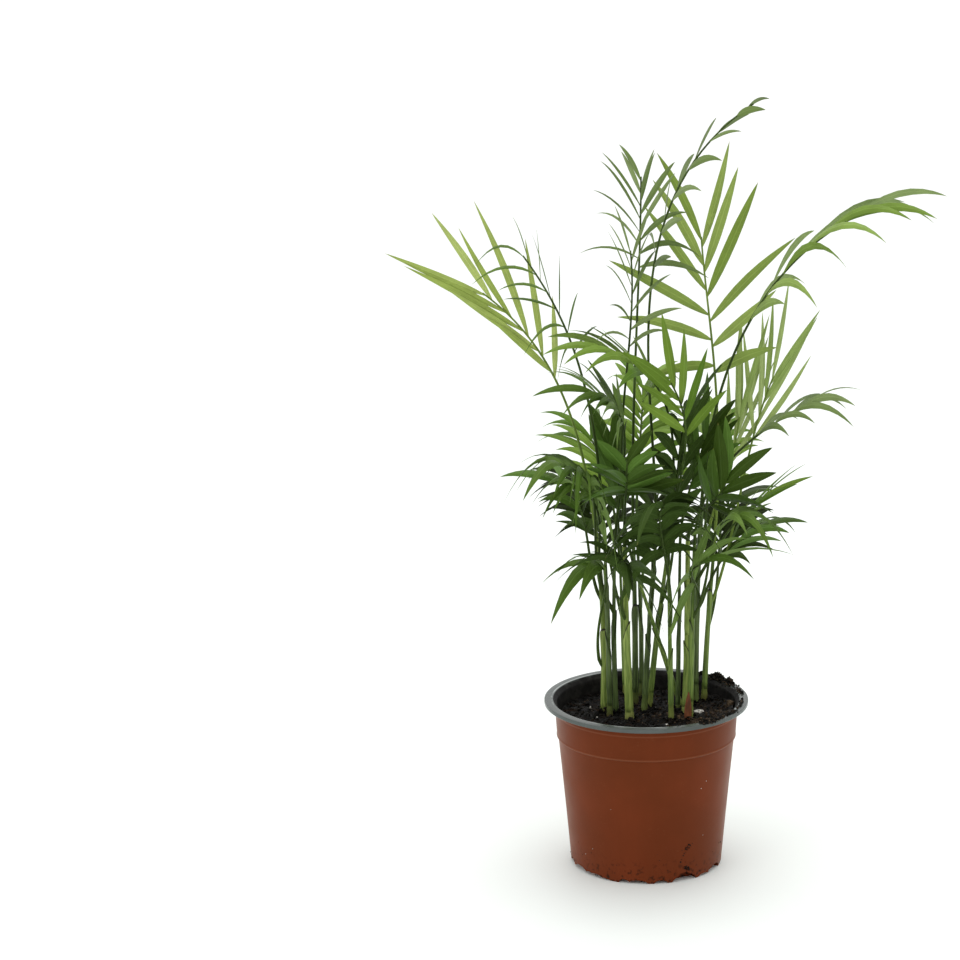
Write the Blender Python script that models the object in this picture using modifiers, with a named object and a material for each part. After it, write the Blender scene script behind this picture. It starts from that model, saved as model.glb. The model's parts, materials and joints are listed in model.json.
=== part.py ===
"""Parlour palm in a round nursery pot, modelled at its real size.

Metres, +Z up. The origin is the centre of the pot's flat underside.
The tables and the named sizes are in millimetres and degrees, and MM turns them to metres.
A heading of 0 points along +X and 90 along +Y, and a lean is measured from upright.
"""

import math
import random
from collections import namedtuple

import bmesh
import bpy
from mathutils import Matrix, Vector
from mathutils.bvhtree import BVHTree

MM = 0.001
UP = Vector((0, 0, 1))
SEED = 7
GAP = 0.3            # clear space between two solids
SAFE = 0.22          # extra skin that a new piece is tried with before it is placed
NEAR = 0.01          # points closer than this are one point

# Pot: a thin moulded wall with a flat rim, a shoulder band and arched drain notches.
POT_HEIGHT = 100.0
RIM_RADIUS = 60.0
RIM_INNER = 55.0
RIM_DEPTH = 2.4
RIM_ROUND = 0.7      # the rim's eased outer edge
WALL = 1.3
FLOOR = 1.8
FOOT_RADIUS = 44.4
BAND_BOTTOM = 78.0   # where the shoulder band starts
BAND_TOP = 93.0
BAND_STEP = 0.7
BAND_TAPER = 1.2     # how much narrower the band is at its bottom than at the rim
NECK_RADIUS = 53.9   # outer wall just under the rim
WAIST_RADIUS = NECK_RADIUS - 2 * BAND_STEP - BAND_TAPER  # outer wall just under the band
POT_STEPS = 44
NOTCHES = 10
NOTCH_WIDTH = 11.0
NOTCH_HEIGHT = 4.6
NOTCH_TURN = 12.0

# Soil: fills the pot, is level in the middle and is heaped up to the rim on the right.
SOIL_LEVEL = 89.5
SOIL_HEAP = 9.0
HEAP_HEADING = -8.0
SOIL_RINGS = (46.0, 38.0, 28.0, 17.0, 7.0)
SOIL_CHAMFER = 6.0
SOIL_SWELL = 0.9     # how high the surface's soft waves stand
SOIL_STEPS = 32

# Stems: each tapers from its foot in the soil to its tip, where its last frond goes on.
STEM_TAPER = 0.62    # a stem's radius at its tip, as a share of the radius over its foot
STEM_FLARE = 0.25    # how much wider the foot is
STEM_POINTS = 5
Stem = namedtuple("Stem", "name foot_x foot_y tip_x tip_y tip_z radius bow foot_z",
                  defaults=(SOIL_LEVEL,))
STEMS = (
    Stem("stem_01", -24.7, 6.5, -28.5, 6.0, 194.0, 2.0, 1.5),
    Stem("stem_02", -21.5, -1.5, -24.0, -4.0, 190.0, 1.5, 0.5),
    Stem("stem_03", -17.8, 5.0, -18.5, 7.0, 184.0, 1.5, -0.8),
    Stem("stem_04", -12.6, 33.0, -15.5, 36.0, 172.0, 1.2, 0.0),
    Stem("stem_05", -9.7, -7.8, -12.5, -12.0, 196.0, 2.3, -0.4),
    Stem("stem_06", -6.5, 19.7, -7.5, 22.0, 190.0, 1.8, 0.4),
    Stem("stem_07", -2.9, 34.0, -5.0, 38.0, 180.0, 1.4, 0.8),
    Stem("stem_08", -1.2, 8.0, 5.0, 8.5, 184.0, 1.7, -0.4),
    Stem("stem_09", 1.8, 15.5, 12.0, 17.0, 180.0, 1.7, -0.4),
    Stem("stem_10", 20.5, 12.0, -5.5, -7.5, 178.0, 1.5, 0.0),
    Stem("stem_11", 14.7, -13.5, 13.0, -15.5, 186.0, 1.5, 0.0),
    Stem("stem_12", 18.6, 5.5, 19.8, 6.5, 192.0, 1.3, 0.0),
    Stem("stem_13", 23.4, 2.0, 24.2, 0.5, 196.0, 2.1, 0.4),
    Stem("stem_14", 25.6, -8.0, 28.0, -11.0, 197.0, 1.7, 0.0),
    Stem("stem_15", 28.8, 22.6, 32.5, 22.0, 212.0, 2.1, -0.8),
    Stem("stem_16", 34.4, 25.5, 39.5, 26.5, 178.0, 1.6, -0.5),
)

# Fronds. up is the foot's share of the stem's height, and 1 goes on from the stem's tip.
# tip is the rib's end, start and end are its leans there and pull its two bends' reach.
# spread is the leaflets' angle from the rib at the lowest and the last pair.
# droop is how far a leaflet's tip sags, as a share of its length.
RIB_FOOT_RADIUS = 0.95
RIB_TIP_RADIUS = 0.5
RIB_POINTS = 7
LAST_PAIR = 0.975    # where along the rib the last pair sits
STAGGER = 0.012      # how far a pair's two leaflets are set off from each other
LEAF_ROOT = 0.7      # a leaflet's width where it is sunk in the rib
LEAF_THICK = 0.015   # a leaflet's ridge height, as a share of its length
LEAF_BENDS = (0.32, 0.68)
LEAF_ARCH = 0.6      # how far a leaflet rises before it sags, as a share of its droop
ANGLE_RANGE = (0.82, 1.2)    # how much leaflets of one frond differ from its own values
LIFT_RANGE = 11.0
TURN_RANGE = 22.0
LENGTH_RANGE = (0.86, 1.08)
WIDTH_RANGE = (0.8, 1.08)
DROOP_RANGE = (0.55, 1.45)
LEAF_TURNS = (0, 9, -9, 18, -18, 27, -27)
RIB_PUSHES = (3, 6, 9, 13)
UNION_NEARS = (0.01, 0.006, 0.003)
FLAT_ANGLE = 1.0     # faces closer than this in their slope are one flat face
Frond = namedtuple("Frond", "name stem up tip heading start end pull roll bare pairs "
                            "length width ends spread droop cup twist tint")
FRONDS = (
    Frond("frond_crest", 8, 1, (61, 8, 452), 0, 0, 56, (0.3, 0.4), 8, 0.62, 6,
          38, 5.0, (0.9, 0.5), (58, 26), 0.5, 0, 20, "mid"),
    Frond("frond_tall", 6, 1, (-3, 40, 404), 90, 0, 22, (0.4, 0.3), -42, 0.74, 7,
          57, 4.0, (0.9, 0.58), (66, 30), 0.42, 10, 0, "dark"),
    Frond("frond_second", 10, 1, (-9, -6, 370), 120, 0, 12, (0.4, 0.3), 25, 0.7, 6,
          50, 4.4, (0.85, 0.72), (66, 30), 0.42, 5, 0, "mid"),
    Frond("frond_feather", 16, 1, (32, 42, 368), 100, 0, 24, (0.5, 0.3), 0, 0.52, 6,
          76, 5.6, (0.56, 0.84), (78, 20), 0.1, 5, 0, "bright"),
    Frond("frond_arch_right", 15, 1, (119, 0, 388), 0, 0, 62, (0.42, 0.3), 0, 0.54, 6,
          78, 6.6, (0.72, 0.94), (42, 20), 0.58, 0, 40, "bright"),
    Frond("frond_fan_left", 1, 1, (-94, 0, 344), 180, 0, 54, (0.30, 0.40), -78, 0.64, 5,
          82, 5.4, (0.66, 0.72), (23, 16), 0.00, 0, 0, "bright"),
    Frond("frond_left", 2, 1, (-70, -20, 370), 180, 0, 36, (0.45, 0.3), -22, 0.62, 6,
          54, 4.2, (0.7, 0.9), (66, 40), 0.5, 0, 0, "mid"),
    Frond("frond_fan_right", 16, 0.72, (75, 56, 281), 20, 16, 24, (0.35, 0.35), 82, 0.72, 4,
          70, 5.0, (0.85, 0.9), (20, 12), 0.03, 0, 0, "bright"),
    Frond("frond_behind_right", 15, 0.78, (55, 50, 258), 0, 14, 4, (0.35, 0.4), 86, 0.66, 4,
          70, 5.0, (0.85, 0.9), (14, 7), 0.02, 0, 0, "bright"),
    Frond("frond_side_right", 14, 1, (94, -20, 284), 0, 0, 62, (0.4, 0.3), 0, 0.68, 4,
          44, 5.0, (0.8, 0.95), (44, 26), 0.66, 0, 40, "mid"),
    Frond("frond_fan_middle", 11, 1, (14, -38, 300), 180, 0, 30, (0.4, 0.35), -70, 0.7, 4,
          48, 5.6, (0.8, 0.9), (40, 20), 0.14, 0, 0, "mid"),
    Frond("frond_spill_left", 9, 1, (-22, -36, 318), 190, 0, 70, (0.5, 0.3), -15, 0.7, 5,
          46, 5.4, (0.8, 1.0), (48, 18), 0.3, 0, 35, "mid"),
    Frond("frond_spill_low_left", 3, 1, (-31, -42, 296), 195, 0, 64, (0.45, 0.3), -20, 0.66, 5,
          41, 5.8, (0.8, 1.0), (48, 22), 0.42, 0, 35, "mid"),
    Frond("frond_low_left", 2, 0.74, (-48, -48, 254), 210, 16, 72, (0.4, 0.35), 0, 0.62, 5,
          46, 6.2, (0.8, 1.0), (54, 26), 0.75, 0, 30, "mid"),
    Frond("frond_lower_left", 3, 0.70, (-40, -30, 236), 195, 18, 66, (0.35, 0.35), 0, 0.58, 4,
          38, 5.8, (0.8, 1.0), (50, 30), 0.70, 0, 30, "mid"),
    Frond("frond_drip_left", 1, 0.3, (-28, -24, 187), 200, 10, 80, (0.4, 0.2), 0, 0.84, 3,
          38, 7.4, (0.8, 1.0), (30, 18), 0.75, 0, 25, "dark"),
    Frond("frond_front_left", 5, 0.62, (-14, -46, 196), 235, 22, 70, (0.35, 0.35), 0, 0.52, 3,
          46, 6.0, (0.8, 1.0), (64, 36), 0.5, 0, 20, "dark"),
    Frond("frond_low_right", 13, 0.56, (31, -40, 193), 335, 24, 68, (0.35, 0.35), 0, 0.54, 4,
          60, 5.4, (0.75, 1.0), (44, 20), 0.34, 0, 35, "mid"),
    Frond("frond_point_right", 14, 0.80, (66, -4, 222), 5, 20, 56, (0.35, 0.35), 10, 0.68, 3,
          40, 4.6, (0.7, 1.0), (32, 13), 0.12, 0, 10, "mid"),
    Frond("frond_hang_right", 14, 0.62, (52, -42, 222), 335, 22, 78, (0.4, 0.3), 0, 0.6, 4,
          37, 6.0, (0.8, 1.0), (46, 22), 0.6, 0, 25, "mid"),
    Frond("frond_dark_middle", 5, 1, (-11, -46, 257), 90, 0, -8, (0.4, 0.35), 0, 0.6, 5,
          38, 7.0, (1.0, 0.85), (66, 28), 0.2, 5, 0, "dark"),
    Frond("frond_dark_right", 13, 1, (46, -28, 240), 0, 0, 20, (0.4, 0.35), 75, 0.6, 4,
          44, 7.0, (0.8, 1.0), (50, 22), 0.16, 0, 0, "dark"),
    Frond("frond_curl_middle", 11, 0.66, (10, -58, 232), 285, 20, 66, (0.35, 0.35), 0, 0.5, 4,
          46, 6.6, (0.8, 1.0), (60, 36), 0.6, 0, 10, "dark"),
    Frond("frond_dark_low", 8, 0.66, (6, -36, 213), 272, 22, 60, (0.35, 0.35), 0, 0.5, 4,
          44, 6.8, (0.8, 1.0), (56, 34), 0.75, 0, 0, "dark"),
    Frond("frond_inner_left", 6, 0.74, (-20, 2, 250), 180, 18, 10, (0.35, 0.35), -80, 0.56, 4,
          44, 6.6, (0.9, 0.9), (28, 12), 0.14, 0, 10, "dark"),
    Frond("frond_inner_middle", 9, 0.76, (24, -16, 276), 300, 16, 30, (0.35, 0.35), 20, 0.52, 5,
          46, 6.4, (0.8, 1.0), (48, 26), 0.3, 0, 10, "dark"),
    Frond("frond_inner_right", 12, 1, (34, 4, 256), 340, 0, 14, (0.35, 0.35), 70, 0.54, 5,
          46, 6.4, (0.9, 0.9), (38, 16), 0.2, 0, 10, "dark"),
    Frond("frond_back_left", 4, 1, (-34, 84, 238), 120, 0, 56, (0.4, 0.35), 0, 0.52, 5,
          50, 6.0, (0.8, 0.9), (54, 26), 0.42, 0, 15, "mid"),
    Frond("frond_back_middle", 7, 1, (-2, 108, 262), 90, 0, 58, (0.4, 0.35), 0, 0.5, 6,
          50, 6.0, (0.8, 0.9), (54, 26), 0.42, 0, 15, "mid"),
    Frond("frond_back_right", 15, 0.72, (44, 94, 242), 68, 18, 56, (0.4, 0.35), 0, 0.5, 6,
          50, 6.0, (0.8, 0.9), (54, 26), 0.42, 0, 15, "mid"),
    Frond("frond_back_low_left", 4, 0.66, (-36, 76, 208), 120, 20, 64, (0.35, 0.35), 0, 0.48, 5,
          44, 6.0, (0.8, 1.0), (56, 30), 0.5, 0, 15, "dark"),
    Frond("frond_back_low", 7, 0.66, (8, 88, 204), 80, 20, 66, (0.35, 0.35), 0, 0.48, 5,
          44, 6.0, (0.8, 1.0), (56, 30), 0.5, 0, 15, "dark"),
    Frond("frond_back_low_right", 16, 0.55, (50, 74, 198), 62, 24, 62, (0.35, 0.35), 0, 0.48, 5,
          44, 6.2, (0.8, 1.0), (54, 30), 0.5, 0, 15, "dark"),
    Frond("frond_side_left", 1, 0.7, (-50, 34, 222), 150, 18, 62, (0.35, 0.35), 0, 0.5, 4,
          42, 6.0, (0.8, 1.0), (54, 28), 0.55, 0, 15, "dark"),
    Frond("frond_side_low_right", 15, 0.5, (62, 36, 192), 15, 22, 62, (0.35, 0.35), 0, 0.52, 4,
          42, 6.0, (0.8, 1.0), (54, 28), 0.55, 0, 15, "dark"),
)

# Colours: base colour in linear light and roughness.
COLOURS = {
    "pot": ((0.19, 0.048, 0.022, 1), 0.45),
    "soil": ((0.010, 0.007, 0.005, 1), 0.95),
    "stem": ((0.16, 0.23, 0.055, 1), 0.50),
    "bright": ((0.19, 0.34, 0.035, 1), 0.45),
    "mid": ((0.055, 0.15, 0.018, 1), 0.45),
    "dark": ((0.018, 0.055, 0.010, 1), 0.45),
}


def material(name):
    """The plain material of one finish."""
    made = bpy.data.materials.get(name)
    if made:
        return made
    made = bpy.data.materials.new(name)
    made.use_nodes = True
    colour, roughness = COLOURS[name]
    shader = made.node_tree.nodes["Principled BSDF"]
    shader.inputs["Base Color"].default_value = colour
    shader.inputs["Roughness"].default_value = roughness
    return made


def add_object(name, mesh, collection, finish):
    """Link a mesh into a collection as an object with its finish."""
    thing = bpy.data.objects.new(name, mesh)
    collection.objects.link(thing)
    mesh.materials.clear()
    mesh.materials.append(material(finish))
    return thing


def direction(heading, lean):
    """The unit vector that leans from upright towards a heading."""
    turn = math.radians(heading)
    tilt = math.radians(lean)
    level = math.sin(tilt)
    return Vector((level * math.cos(turn), level * math.sin(turn), math.cos(tilt)))


def turned_mesh(name, profile, steps):
    """Turn a profile of (radius, height) points about the Z axis."""
    mesh = bpy.data.meshes.new(name)
    points = [(radius * MM, 0, height * MM) for radius, height in profile]
    mesh.from_pydata(points, [(i, i + 1) for i in range(len(points) - 1)], [])
    thing = bpy.data.objects.new(name, mesh)
    bpy.context.scene.collection.objects.link(thing)
    screw = thing.modifiers.new("Screw", "SCREW")
    screw.steps = steps
    screw.render_steps = steps
    screw.use_merge_vertices = True
    screw.merge_threshold = NEAR * MM
    return evaluated_mesh(thing, NEAR)


def evaluated_mesh(thing, near):
    """The finished mesh of an object, in triangles and with near points merged."""
    bpy.context.view_layer.update()
    graph = bpy.context.evaluated_depsgraph_get()
    mesh = bpy.data.meshes.new_from_object(thing.evaluated_get(graph))
    mesh.transform(thing.matrix_world)
    bpy.data.objects.remove(thing)
    work = bmesh.new()
    work.from_mesh(mesh)
    bmesh.ops.remove_doubles(work, verts=work.verts, dist=near * MM)
    bmesh.ops.triangulate(work, faces=work.faces)
    work.to_mesh(mesh)
    work.free()
    return mesh


def remove_collection(group):
    """Remove a helper collection with all its objects."""
    for thing in list(group.objects):
        bpy.data.objects.remove(thing)
    bpy.data.collections.remove(group)


def tube_mesh(name, points, radii, sides):
    """A tapering tube along points, with closed ends."""
    curve = bpy.data.curves.new(name, "CURVE")
    curve.dimensions = "3D"
    curve.bevel_depth = MM
    curve.bevel_resolution = (sides - 4) // 2
    curve.use_fill_caps = True
    spline = curve.splines.new("POLY")
    spline.points.add(len(points) - 1)
    for knot, point, radius in zip(spline.points, points, radii):
        knot.co = (*(point * MM), 1)
        knot.radius = radius
    thing = bpy.data.objects.new(name, curve)
    bpy.context.scene.collection.objects.link(thing)
    mesh = evaluated_mesh(thing, NEAR)
    bpy.data.curves.remove(curve)
    return mesh


def largest_piece(mesh):
    """Keep the largest connected piece: a loose scrap goes, and a sealed hollow is filled."""
    work = bmesh.new()
    work.from_mesh(mesh)
    left = set(work.verts)
    pieces = []
    while left:
        front = {left.pop()}
        piece = set(front)
        while front:
            near = {edge.other_vert(vertex) for vertex in front for edge in vertex.link_edges}
            front = near & left
            left -= front
            piece |= front
        pieces.append(piece)
    pieces.sort(key=len)
    scraps = [vertex for piece in pieces[:-1] for vertex in piece]
    bmesh.ops.delete(work, geom=scraps, context="VERTS")
    work.to_mesh(mesh)
    work.free()
    return mesh


def tidied(mesh, near):
    """Take out the specks and slivers that a union leaves, and cut flat faces up afresh."""
    work = bmesh.new()
    work.from_mesh(mesh)
    flat = math.radians(FLAT_ANGLE)
    bmesh.ops.dissolve_degenerate(work, dist=near * MM, edges=work.edges)
    bmesh.ops.dissolve_limit(work, angle_limit=flat, verts=work.verts, edges=work.edges)
    bmesh.ops.triangulate(work, faces=work.faces)
    bmesh.ops.dissolve_degenerate(work, dist=near * MM, edges=work.edges)
    bmesh.ops.triangulate(work, faces=work.faces)
    work.to_mesh(mesh)
    work.free()
    return mesh


def is_closed(mesh):
    """True where every edge has two faces."""
    work = bmesh.new()
    work.from_mesh(mesh)
    closed = all(len(edge.link_faces) == 2 for edge in work.edges)
    work.free()
    return closed


def mesh_tree(mesh):
    """The search tree of a mesh's faces."""
    corners = [vertex.co.copy() for vertex in mesh.vertices]
    return BVHTree.FromPolygons(corners, [tuple(face.vertices) for face in mesh.polygons])


def is_clear(tree, placed):
    """True where a tried piece cuts none of the placed ones."""
    return not any(tree.overlap(other) for other in placed)


def wall_radius(height):
    """The pot's outer radius at a height."""
    if height < BAND_BOTTOM:
        return FOOT_RADIUS + (WAIST_RADIUS - FOOT_RADIUS) * height / BAND_BOTTOM
    share = (height - BAND_BOTTOM) / (POT_HEIGHT - RIM_DEPTH - BAND_BOTTOM)
    return NECK_RADIUS - BAND_TAPER * (1 - share)


def bore_radius(height):
    """The pot's inner radius at a height: straight up to the band, and straight on to the rim."""
    under_rim = POT_HEIGHT - RIM_DEPTH
    foot = FOOT_RADIUS - WALL
    bend = WAIST_RADIUS - WALL
    neck = wall_radius(under_rim) - WALL
    if height < BAND_BOTTOM:
        return foot + (bend - foot) * (height - FLOOR) / (BAND_BOTTOM - FLOOR)
    return bend + (neck - bend) * (height - BAND_BOTTOM) / (under_rim - BAND_BOTTOM)


def make_pot(collection):
    """The pot: one turned wall with its rim, and notches cut in the foot."""
    under_rim = POT_HEIGHT - RIM_DEPTH
    profile = [
        (RIM_INNER, POT_HEIGHT),
        (RIM_RADIUS - RIM_ROUND, POT_HEIGHT),
        (RIM_RADIUS, POT_HEIGHT - RIM_ROUND),
        (RIM_RADIUS, under_rim + 0.4),
        (RIM_RADIUS - 0.9, under_rim),
        (NECK_RADIUS + 0.6, under_rim),
        (wall_radius(BAND_TOP) + 0.5, BAND_TOP + 0.6),
        (wall_radius(BAND_TOP), BAND_TOP),
        (wall_radius(BAND_BOTTOM), BAND_BOTTOM + BAND_STEP),
        (WAIST_RADIUS, BAND_BOTTOM),
        (FOOT_RADIUS + 0.1, 1.0),
        (FOOT_RADIUS - 0.6, 0),
        (0, 0),
        (0, FLOOR),
        (bore_radius(FLOOR), FLOOR),
        (bore_radius(BAND_BOTTOM), BAND_BOTTOM),
        (bore_radius(under_rim), under_rim),
        (RIM_INNER, POT_HEIGHT),
    ]
    wall = bpy.data.objects.new("wall", turned_mesh("pot", profile, POT_STEPS))
    bpy.context.scene.collection.objects.link(wall)
    cutters = bpy.data.collections.new("cutters")
    bpy.context.scene.collection.children.link(cutters)
    for index in range(NOTCHES):
        notch = bmesh.new()
        bmesh.ops.create_cone(notch, cap_ends=True, segments=12, radius1=1, radius2=1, depth=1)
        stretch = Matrix.Diagonal((NOTCH_HEIGHT * MM, NOTCH_WIDTH / 2 * MM, 12 * MM, 1))
        lay_down = Matrix.Rotation(math.radians(90), 4, "Y")
        outward = Matrix.Translation((FOOT_RADIUS * MM, 0, 0))
        around = Matrix.Rotation(math.radians(NOTCH_TURN + index * 360 / NOTCHES), 4, "Z")
        notch.transform(around @ outward @ lay_down @ stretch)
        mesh = bpy.data.meshes.new(f"notch_{index}")
        notch.to_mesh(mesh)
        notch.free()
        cutter = bpy.data.objects.new(mesh.name, mesh)
        cutters.objects.link(cutter)
    cut = wall.modifiers.new("Notches", "BOOLEAN")
    cut.operation = "DIFFERENCE"
    cut.operand_type = "COLLECTION"
    cut.collection = cutters
    pot = add_object("pot", evaluated_mesh(wall, NEAR), collection, "pot")
    remove_collection(cutters)
    pot.data.shade_smooth()
    pot.data.set_sharp_from_angle(angle=math.radians(30))
    return pot


def soil_height(x, y):
    """The soil's surface over a point, higher towards the heaped side."""
    radius = math.hypot(x, y)
    toward = math.cos(math.atan2(y, x) - math.radians(HEAP_HEADING))
    heap = SOIL_HEAP * max(0, toward) ** 2 * min(1, radius / RIM_INNER) ** 3
    swell = SOIL_SWELL * math.sin(x / 9) * math.cos(y / 11)
    return SOIL_LEVEL + heap + swell


def make_soil(collection):
    """The soil: a turned plug whose top is lifted to the soil's surface."""
    low = FLOOR + GAP
    clear = GAP + 0.2
    profile = [(0, SOIL_LEVEL)]
    profile += [(radius, SOIL_LEVEL) for radius in reversed(SOIL_RINGS)]
    for height in (SOIL_LEVEL, BAND_BOTTOM, low + SOIL_CHAMFER):
        profile.append((bore_radius(height) - clear, height))
    profile += [(bore_radius(low) - SOIL_CHAMFER, low), (0, low)]
    mesh = turned_mesh("soil", profile, SOIL_STEPS)
    for vertex in mesh.vertices:
        x, y, z = vertex.co / MM
        if z > SOIL_LEVEL - GAP:
            vertex.co.z = soil_height(x, y) * MM
    return add_object("soil", mesh, collection, "soil")


def stem_point(stem, share):
    """A point on a stem's axis, from its foot at 0 to its tip at 1."""
    foot = Vector((stem.foot_x, stem.foot_y, stem.foot_z))
    tip = Vector((stem.tip_x, stem.tip_y, stem.tip_z))
    sideways = Vector((stem.bow, 0, 0)) * math.sin(math.pi * share)
    return foot.lerp(tip, share) + sideways


def stem_radius(stem, share):
    """A stem's radius: widest at its foot, with its true taper."""
    flare = STEM_FLARE * max(0, 1 - share / 0.15) ** 2
    return stem.radius * (1 + flare - (1 - STEM_TAPER) * share)


def seated_stems(soil):
    """The stems, each with its flat foot just clear of the highest soil that lies under it."""
    ground = mesh_tree(soil.data)
    seated = []
    for stem in STEMS:
        axis = (stem_point(stem, 0.02) - stem_point(stem, 0)).normalized()
        above = Vector((stem.foot_x, stem.foot_y, 2 * POT_HEIGHT))
        heights = []
        for turn in range(0, 360, 30):
            level = direction(turn, 90)
            edge = (level - axis * level.dot(axis)).normalized() * stem_radius(stem, 0)
            top = ground.ray_cast((above + edge) * MM, -UP)[0]
            heights.append(top.z / MM - edge.z)
        seated.append(stem._replace(foot_z=max(heights) + GAP))
    return seated


def make_stems(stems, collection, placed):
    """Every stem, as a tapering tube of its own."""
    for stem in stems:
        shares = [index / (STEM_POINTS - 1) for index in range(STEM_POINTS)]
        points = [stem_point(stem, share) for share in shares]
        radii = [stem_radius(stem, share) for share in shares]
        mesh = tube_mesh(stem.name, points, radii, 6)
        placed.append(mesh_tree(mesh))
        thing = add_object(stem.name, mesh, collection, "stem")
        thing.data.shade_smooth()
        thing.data.set_sharp_from_angle(angle=math.radians(50))


def rib_knots(frond, stem, push):
    """The four control points of a frond's rib. push moves its middle sideways."""
    axis = stem_point(stem, frond.up) - stem_point(stem, frond.up - 0.02)
    axis.normalize()
    outward = direction(frond.heading, 90)
    foot = stem_point(stem, frond.up)
    if frond.up < 1:
        foot += outward * (stem_radius(stem, frond.up) + RIB_FOOT_RADIUS + GAP + 0.1)
        start = (axis + outward * math.tan(math.radians(frond.start))).normalized()
    else:
        foot += axis * GAP
        start = axis
    tip = Vector(frond.tip)
    chord = (tip - foot).length
    first = foot + start * chord * frond.pull[0]
    last = tip - direction(frond.heading, frond.end) * chord * frond.pull[1]
    return foot, first + push, last + push * 0.5, tip


def rib_point(knots, share):
    """A point on the rib, from its foot at 0 to its tip at 1."""
    rest = 1 - share
    weights = (rest ** 3, 3 * rest ** 2 * share, 3 * rest * share ** 2, share ** 3)
    return sum((knot * weight for knot, weight in zip(knots, weights)), Vector())


def rib_axis(knots, share):
    """The point at a share of the rib on the straight pieces that its tube is made of."""
    place = share * (RIB_POINTS - 1)
    piece = min(int(place), RIB_POINTS - 2)
    low = rib_point(knots, piece / (RIB_POINTS - 1))
    high = rib_point(knots, (piece + 1) / (RIB_POINTS - 1))
    return low.lerp(high, place - piece)


def rib_radius(share):
    """A rib's radius, from the foot to the tip."""
    return RIB_FOOT_RADIUS + (RIB_TIP_RADIUS - RIB_FOOT_RADIUS) * share


def rib_frame(frond, knots, share):
    """The rib's direction, its blade's side and its blade's upper face."""
    along = rib_point(knots, min(1, share + 0.01)) - rib_point(knots, share - 0.01)
    along.normalize()
    side = direction(frond.heading + 90, 90)
    side = (side - along * side.dot(along)).normalized()
    face = along.cross(side)
    roll = Matrix.Rotation(math.radians(frond.roll), 3, along)
    return along, roll @ side, roll @ face


def rib_mesh(knots, skin):
    """The rib's tube, with an extra skin round it."""
    shares = [index / (RIB_POINTS - 1) for index in range(RIB_POINTS)]
    points = [rib_point(knots, share) for share in shares]
    radii = [rib_radius(share) + skin for share in shares]
    return tube_mesh("rib", points, radii, 4)


def route_rib(frond, stem, placed):
    """The frond's rib on the first route that is clear of all that is placed."""
    pushes = [Vector()]
    for reach in RIB_PUSHES:
        pushes += [direction(frond.heading + turn, 90) * reach for turn in range(0, 360, 45)]
    for push in pushes:
        knots = rib_knots(frond, stem, push)
        mesh = rib_mesh(knots, SAFE)
        clear = is_clear(mesh_tree(mesh), placed)
        bpy.data.meshes.remove(mesh)
        if clear:
            return knots
    raise ValueError(f"no clear route for {frond.name}")


def leaf_template():
    """A three-sided spike: its base is the leaflet's root and its point the leaflet's tip."""
    work = bmesh.new()
    bmesh.ops.create_cone(work, cap_ends=True, segments=3, radius1=1, radius2=0, depth=1)
    bmesh.ops.translate(work, verts=work.verts, vec=(0, 0, 0.5))
    for height in LEAF_BENDS:
        parts = work.verts[:] + work.edges[:] + work.faces[:]
        bmesh.ops.bisect_plane(work, geom=parts, plane_co=(0, 0, height), plane_no=(0, 0, 1))
    bmesh.ops.triangulate(work, faces=work.faces)
    mesh = bpy.data.meshes.new("leaf_template")
    work.to_mesh(mesh)
    work.free()
    return mesh


Leaf = namedtuple("Leaf", "root aim face length width droop")


def blade_width(share):
    """The half width of a leaflet along its length, as a share of its widest."""
    return math.sin(math.pi * min(1, share) ** 0.75) ** 0.8 if share < 1 else 0


def leaf_corners(template, leaf, skin):
    """The template's corners, moved onto one leaflet that rises a little and then sags.

    The line across the blade keeps its direction, so each stretch of the underside is flat.
    """
    corners = []
    side = leaf.aim.cross(leaf.face).normalized()
    for vertex in template.vertices:
        share = vertex.co.z
        round_angle = math.atan2(vertex.co.y, vertex.co.x)
        slope = LEAF_ARCH - 2 * (1 + LEAF_ARCH) * share
        aim = (leaf.aim + UP * leaf.droop * slope).normalized()
        normal = side.cross(aim).normalized()
        centre = leaf.root + leaf.aim * leaf.length * share
        sag = leaf.droop * ((1 + LEAF_ARCH) * share ** 2 - LEAF_ARCH * share)
        centre = centre - UP * leaf.length * sag
        half = max(LEAF_ROOT / 2 * (1 - share), leaf.width / 2 * blade_width(share)) + skin
        ridge = leaf.length * LEAF_THICK * (1 - 0.8 * share) + 2 * skin
        level = (math.cos(round_angle) + 0.5) / 1.5
        sway = math.sin(round_angle) / math.sin(math.radians(120))
        place = centre + side * half * sway + normal * (ridge * (level - 0.5))
        corners.append(place * MM)
    return corners


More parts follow.
